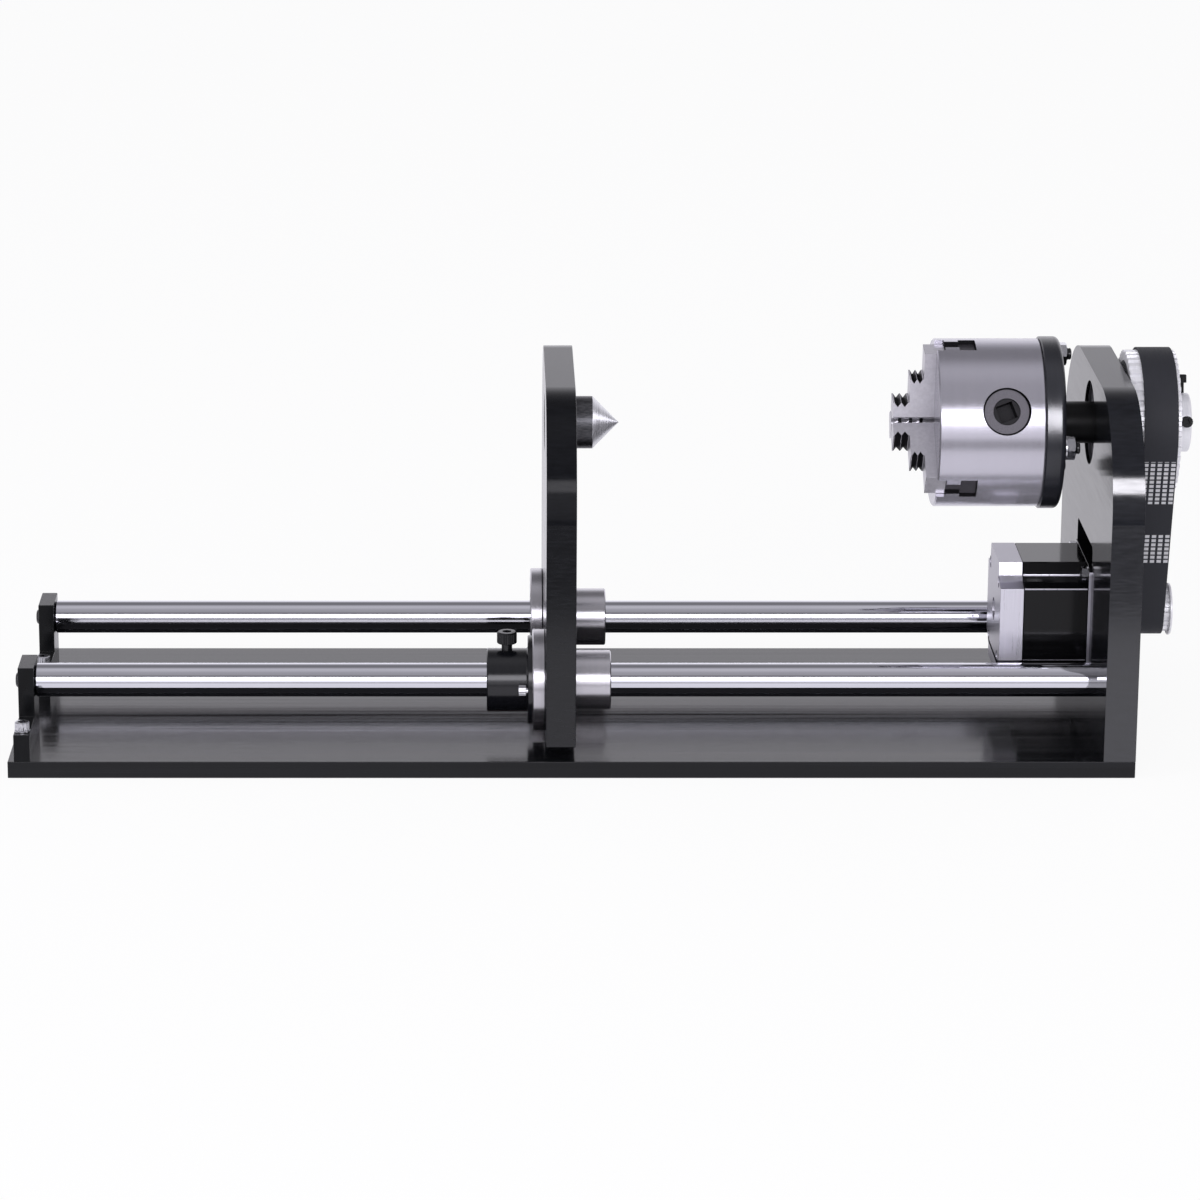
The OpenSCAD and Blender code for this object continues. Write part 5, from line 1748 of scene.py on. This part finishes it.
    def live_centre(self) -> Piece:
        """Models the live centre with its darker straight part and its turned cone."""
        span = Span.of("live_centre")
        radius, edge = span.size.z / 2, 0.4 * MM
        face = span.high.x - radius - self.straight * MM
        cone = face + self.straight * MM
        start, end, collar = span.low.x, span.high.x, face - 1 * MM
        outline = [(start, 2.5 * MM), (start, 5.8 * MM), (start + 0.2 * MM, 6 * MM)]
        outline += [(collar, 6 * MM), (collar, 7.8 * MM), (face, 7.8 * MM), (face, radius - edge)]
        outline += [(face + edge, radius), (cone - 0.15 * MM, radius), (cone + 0.1 * MM, radius - 0.1 * MM)]
        outline += [(end - 0.3 * MM, 0.3 * MM), (end - 0.02 * MM, 0.05 * MM)]
        point = Piece.turned("turned_live_centre", outline, (span.centre.y, span.centre.z), 128)
        point.coat(TURNED_STEEL)
        point.paint(lambda f: face - NEAR < f.calc_center_median().x < cone - 0.1 * MM, DARK_STEEL)
        return point.dress(TURNED_STEEL, "centre", "live_centre")

    def build(self) -> None:
        """Builds all the pieces of the tailstock."""
        self.plate()
        for end in ("front", "rear"):
            self.bushing(f"{end}_bushing", f"{end}_linear_bushing")
        self.seals()
        self.flange_screws()
        self.collar()
        self.live_centre()


# Finishes of the CAD nodes that are shown as they are
NODE_FINISHES = {
    "base_screws": BLACK_OXIDE,
    "spindle_bearing_outer": BEARING_STEEL,
    "spindle_bearing_inner": BEARING_STEEL,
    "spindle_bearing_balls": BEARING_STEEL,
    "spindle_bearing_shields": SHIELD_STEEL,
    "centre_bearing_outer": BEARING_STEEL,
    "centre_bearing_inner": BEARING_STEEL,
    "centre_bearing_balls": BEARING_STEEL,
    "centre_end_screw": BLACK_OXIDE,
    "chuck_rear_cover": GROUND_STEEL,
    "scroll_plate": JAW_STEEL,
    "motor_shaft": BEARING_STEEL,
    "rotor_core": ROTOR_STEEL,
    "drive_grub_screw": BLACK_OXIDE,
    "motor_lead_grommet": RUBBER,
}


def dress_nodes(nodes: dict[str, bpy.types.Object]) -> None:
    """Gives every CAD node that stays in view its own finish.

    Args:
        nodes: The CAD nodes by name.
    """
    for name, finish in NODE_FINISHES.items():
        slots = nodes[name].material_slots
        for slot in slots:
            slot.material = finish.build()
        if not slots:
            nodes[name].data.materials.append(finish.build())
        LOG.info("%s keeps its CAD shape in %s", name, finish.name)


@dataclass
class Studio:
    """The plain white studio: floor, world, lamps and the camera of the photograph.

    The table's stops run from its far edge to the object. The tent's angles, in degrees, run from the front
    horizontal overhead to the back.
    """

    photo: float = 1200.0
    focal_pixels: float = 4750.76
    centre_pixels: Point = (485.67, 600.0)
    camera_place: tuple[float, float, float] = (-0.0400, -2.2039, 0.6847)
    pitch: float = 15.83
    floor_size: float = 14.0
    glow: float = 1.03
    glow_share: float = 0.88
    aim_height: float = 0.09
    table_depth: float = 1.2
    table: tuple[Point, ...] = ((0.0, 1.0), (0.27, 1.0), (0.31, 0.12), (0.68, 0.12), (0.72, 0.95), (1.0, 0.95))
    tent_angles: tuple[float, ...] = (
        0, 12, 17, 24, 30, 37, 44, 51, 66, 74, 84, 92, 101, 110, 117, 132, 145, 155, 168
    )
    tent_values: tuple[float, ...] = (
        1.2, 1.3, 1.2, 0.78, 0.36, 0.2, 0.3, 0.42, 0.45, 0.54,
        0.62, 0.62, 0.47, 0.24, 0.22, 0.24, 0.55, 1.0, 1.12
    )

    def camera(self) -> None:
        """Sets the camera at the photograph's place and angle."""
        data = bpy.data.cameras.new("photo_camera")
        data.sensor_width = 36.0
        data.lens = self.focal_pixels / self.photo * data.sensor_width
        data.shift_x = (self.photo / 2 - self.centre_pixels[0]) / self.photo
        data.shift_y = (self.centre_pixels[1] - self.photo / 2) / self.photo
        camera = bpy.data.objects.new("photo_camera", data)
        camera.location = self.camera_place
        camera.rotation_euler = (math.radians(90 - self.pitch), 0, 0)
        bpy.context.scene.collection.objects.link(camera)
        bpy.context.scene.camera = camera

    def floor(self) -> None:
        """Lays a white floor that glows to the camera and to gloss, and keeps a faint shadow.

        Gloss sees a dark gap in it between the table in front of the object and the front soft box.
        """
        bpy.ops.object.select_all(action="DESELECT")
        bpy.ops.mesh.primitive_plane_add(size=self.floor_size, location=(0, 0, -0.05 * MM))
        plane = bpy.context.active_object
        plane.name = "studio_floor"
        bpy.ops.object.transform_apply(location=True, rotation=True, scale=True)
        material = bpy.data.materials.new("white_floor")
        material.use_nodes = True
        tree = material.node_tree
        tree.nodes.clear()
        path = add_node(tree, "ShaderNodeLightPath")
        seen = add_node(
            tree,
            "ShaderNodeMath",
            {"operation": "MAXIMUM"},
            in_0=path.outputs["Is Camera Ray"],
            in_1=path.outputs["Is Glossy Ray"],
        )
        share = add_node(tree, "ShaderNodeMath", {"operation": "MULTIPLY"}, in_0=seen.outputs[0], in_1=self.glow_share)
        coords = add_node(tree, "ShaderNodeTexCoord")
        axes = add_node(tree, "ShaderNodeSeparateXYZ", Vector=coords.outputs["Object"])
        depth = add_node(tree, "ShaderNodeMapRange", in_0=axes.outputs["Y"], in_1=-self.table_depth, in_2=0.0)
        ramp = add_node(tree, "ShaderNodeValToRGB", Fac=depth.outputs[0])
        self.grade(ramp.color_ramp, self.table)
        light = add_node(
            tree,
            "ShaderNodeMix",
            {"data_type": "RGBA"},
            in_0=path.outputs["Is Camera Ray"],
            in_6=ramp.outputs["Color"],
            in_7=(1, 1, 1, 1),
        )
        paint = add_node(tree, "ShaderNodeBsdfDiffuse", Color=linear("#f6f6f6"))
        glow = add_node(tree, "ShaderNodeEmission", Color=light.outputs[2], Strength=self.glow)
        mix = add_node(
            tree, "ShaderNodeMixShader", in_0=share.outputs[0], in_1=paint.outputs[0], in_2=glow.outputs[0]
        )
        add_node(tree, "ShaderNodeOutputMaterial", Surface=mix.outputs[0])
        plane.data.materials.append(material)
        plane.select_set(False)

    def grade(self, ramp: bpy.types.ColorRamp, stops: Sequence[Point]) -> None:
        """Sets the stops of a ramp of greys.

        Args:
            ramp: The ramp.
            stops: Places from 0 to 1 and values.
        """
        while len(ramp.elements) < len(stops):
            ramp.elements.new(0.5)
        for element, (position, value) in zip(ramp.elements, stops):
            element.position = position
            element.color = (value, value * 0.985, value * 1.05, 1.0)

    def world(self) -> None:
        """Makes a world that is white to the camera and a long light tent to the object.

        Seen along the rails, the tent is bright from the front up to a third of the way, grey overhead and
        bright again low at the back.
        """
        world = bpy.data.worlds.new("light_tent")
        bpy.context.scene.world = world
        world.use_nodes = True
        tree = world.node_tree
        tree.nodes.clear()
        coords = add_node(tree, "ShaderNodeTexCoord")
        axes = add_node(tree, "ShaderNodeSeparateXYZ", Vector=coords.outputs["Generated"])
        front = add_node(tree, "ShaderNodeMath", {"operation": "MULTIPLY"}, in_0=axes.outputs["Y"], in_1=-1.0)
        angle = add_node(
            tree, "ShaderNodeMath", {"operation": "ARCTAN2"}, in_0=axes.outputs["Z"], in_1=front.outputs[0]
        )
        place = add_node(tree, "ShaderNodeMapRange", in_0=angle.outputs[0], in_2=math.pi)
        stops = [(degrees / 180, value) for degrees, value in zip(self.tent_angles, self.tent_values)]
        ramp = add_node(tree, "ShaderNodeValToRGB", Fac=place.outputs[0])
        self.grade(ramp.color_ramp, stops)
        path = add_node(tree, "ShaderNodeLightPath")
        tent = add_node(tree, "ShaderNodeBackground", Color=ramp.outputs["Color"], Strength=1.0)
        plain = add_node(tree, "ShaderNodeBackground", Strength=1.0)
        plain.inputs["Color"].default_value = (1, 1, 1, 1)
        mix = add_node(
            tree,
            "ShaderNodeMixShader",
            in_0=path.outputs["Is Camera Ray"],
            in_1=tent.outputs[0],
            in_2=plain.outputs[0],
        )
        add_node(tree, "ShaderNodeOutputWorld", Surface=mix.outputs[0])

    def lamps(self) -> None:
        """Hangs two soft boxes, and the strips and fills that main links to single pieces."""
        for name, place, size, power in (
            ("front_soft_box", (-0.1, -2.6, 1.15), (2.2, 0.9), 30.0),
            ("left_soft_box", (-2.2, -0.9, 1.2), (1.0, 1.0), 9.0),
            ("right_strip", (0.60, -2.1, 0.80), (0.24, 1.1), 40.0),
            ("headstock_strip", (0.54, -2.1, 1.07), (0.24, 0.6), 50.0),
            ("tailstock_strip", (0.035, -2.1, 1.07), (0.3, 0.46), 2.4),
            ("cone_fill", (1.5, -0.25, 0.30), (1.0, 1.0), 9.0),
            ("chuck_fill", (0.20, -0.55, -0.60), (0.5, 0.3), 10.0),
        ):
            data = bpy.data.lights.new(name, "AREA")
            data.shape = "RECTANGLE"
            data.size, data.size_y = size
            data.energy = power
            data.color = (1.0, 0.985, 1.05)
            lamp = bpy.data.objects.new(name, data)
            lamp.location = place
            beam = Vector((0, 0, self.aim_height)) - Vector(place)
            lamp.rotation_euler = beam.to_track_quat("-Z", "Y").to_euler()
            bpy.context.scene.collection.objects.link(lamp)

    def link(self, lamp: str, lit: Sequence[str], blocked: Sequence[str] = (), state: str = "INCLUDE") -> None:
        """Keeps a lamp's light on some pieces or off them, as the photograph shows it.

        Args:
            lamp: Name of the lamp.
            lit: Names of the pieces that it lights, or passes by.
            blocked: Names of the pieces that alone cast its shadow, or none where every piece does.
            state: INCLUDE where it lights these pieces alone, and EXCLUDE where it lights all the others.
        """
        linking = bpy.data.objects[lamp].light_linking
        linking.receiver_collection = bpy.data.collections.new(f"lit_by_{lamp}")
        for name in lit:
            linking.receiver_collection.objects.link(bpy.data.objects[name])
        for entry in linking.receiver_collection.collection_objects:
            entry.light_linking.link_state = state
        if blocked:
            linking.blocker_collection = bpy.data.collections.new(f"shade_of_{lamp}")
            for name in blocked:
                linking.blocker_collection.objects.link(bpy.data.objects[name])

    def build(self) -> None:
        """Builds the studio."""
        bpy.context.scene.view_settings.view_transform = "Standard"
        self.camera()
        self.floor()
        self.world()
        self.lamps()


def main() -> None:
    """Builds the studio and every sub-assembly."""
    logging.basicConfig(level=logging.INFO, format="%(message)s")
    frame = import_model()
    studio = Studio()
    studio.build()
    for assembly in (BaseAndRails(), Headstock(), Chuck(), BeltDrive(), Motor(), Tailstock()):
        assembly.build()
    studio.link("front_soft_box", ["headstock_side_plate", "tailstock_side_plate"], state="EXCLUDE")
    studio.link("right_strip", ["chuck_back_plate"])
    studio.link("headstock_strip", ["headstock_side_plate"])
    studio.link("tailstock_strip", ["tailstock_side_plate"])
    studio.link("cone_fill", ["turned_live_centre"], ["turned_live_centre"])
    chuck_pieces = ["chuck_shell", "stepped_jaw_1", "stepped_jaw_2", "stepped_jaw_3"]
    studio.link("chuck_fill", chuck_pieces, chuck_pieces + ["chuck_back_plate"])
    bpy.data.objects["chuck_fill"].visible_glossy = False
    dress_nodes(frame["nodes"])


if __name__ == "__main__":
    main()
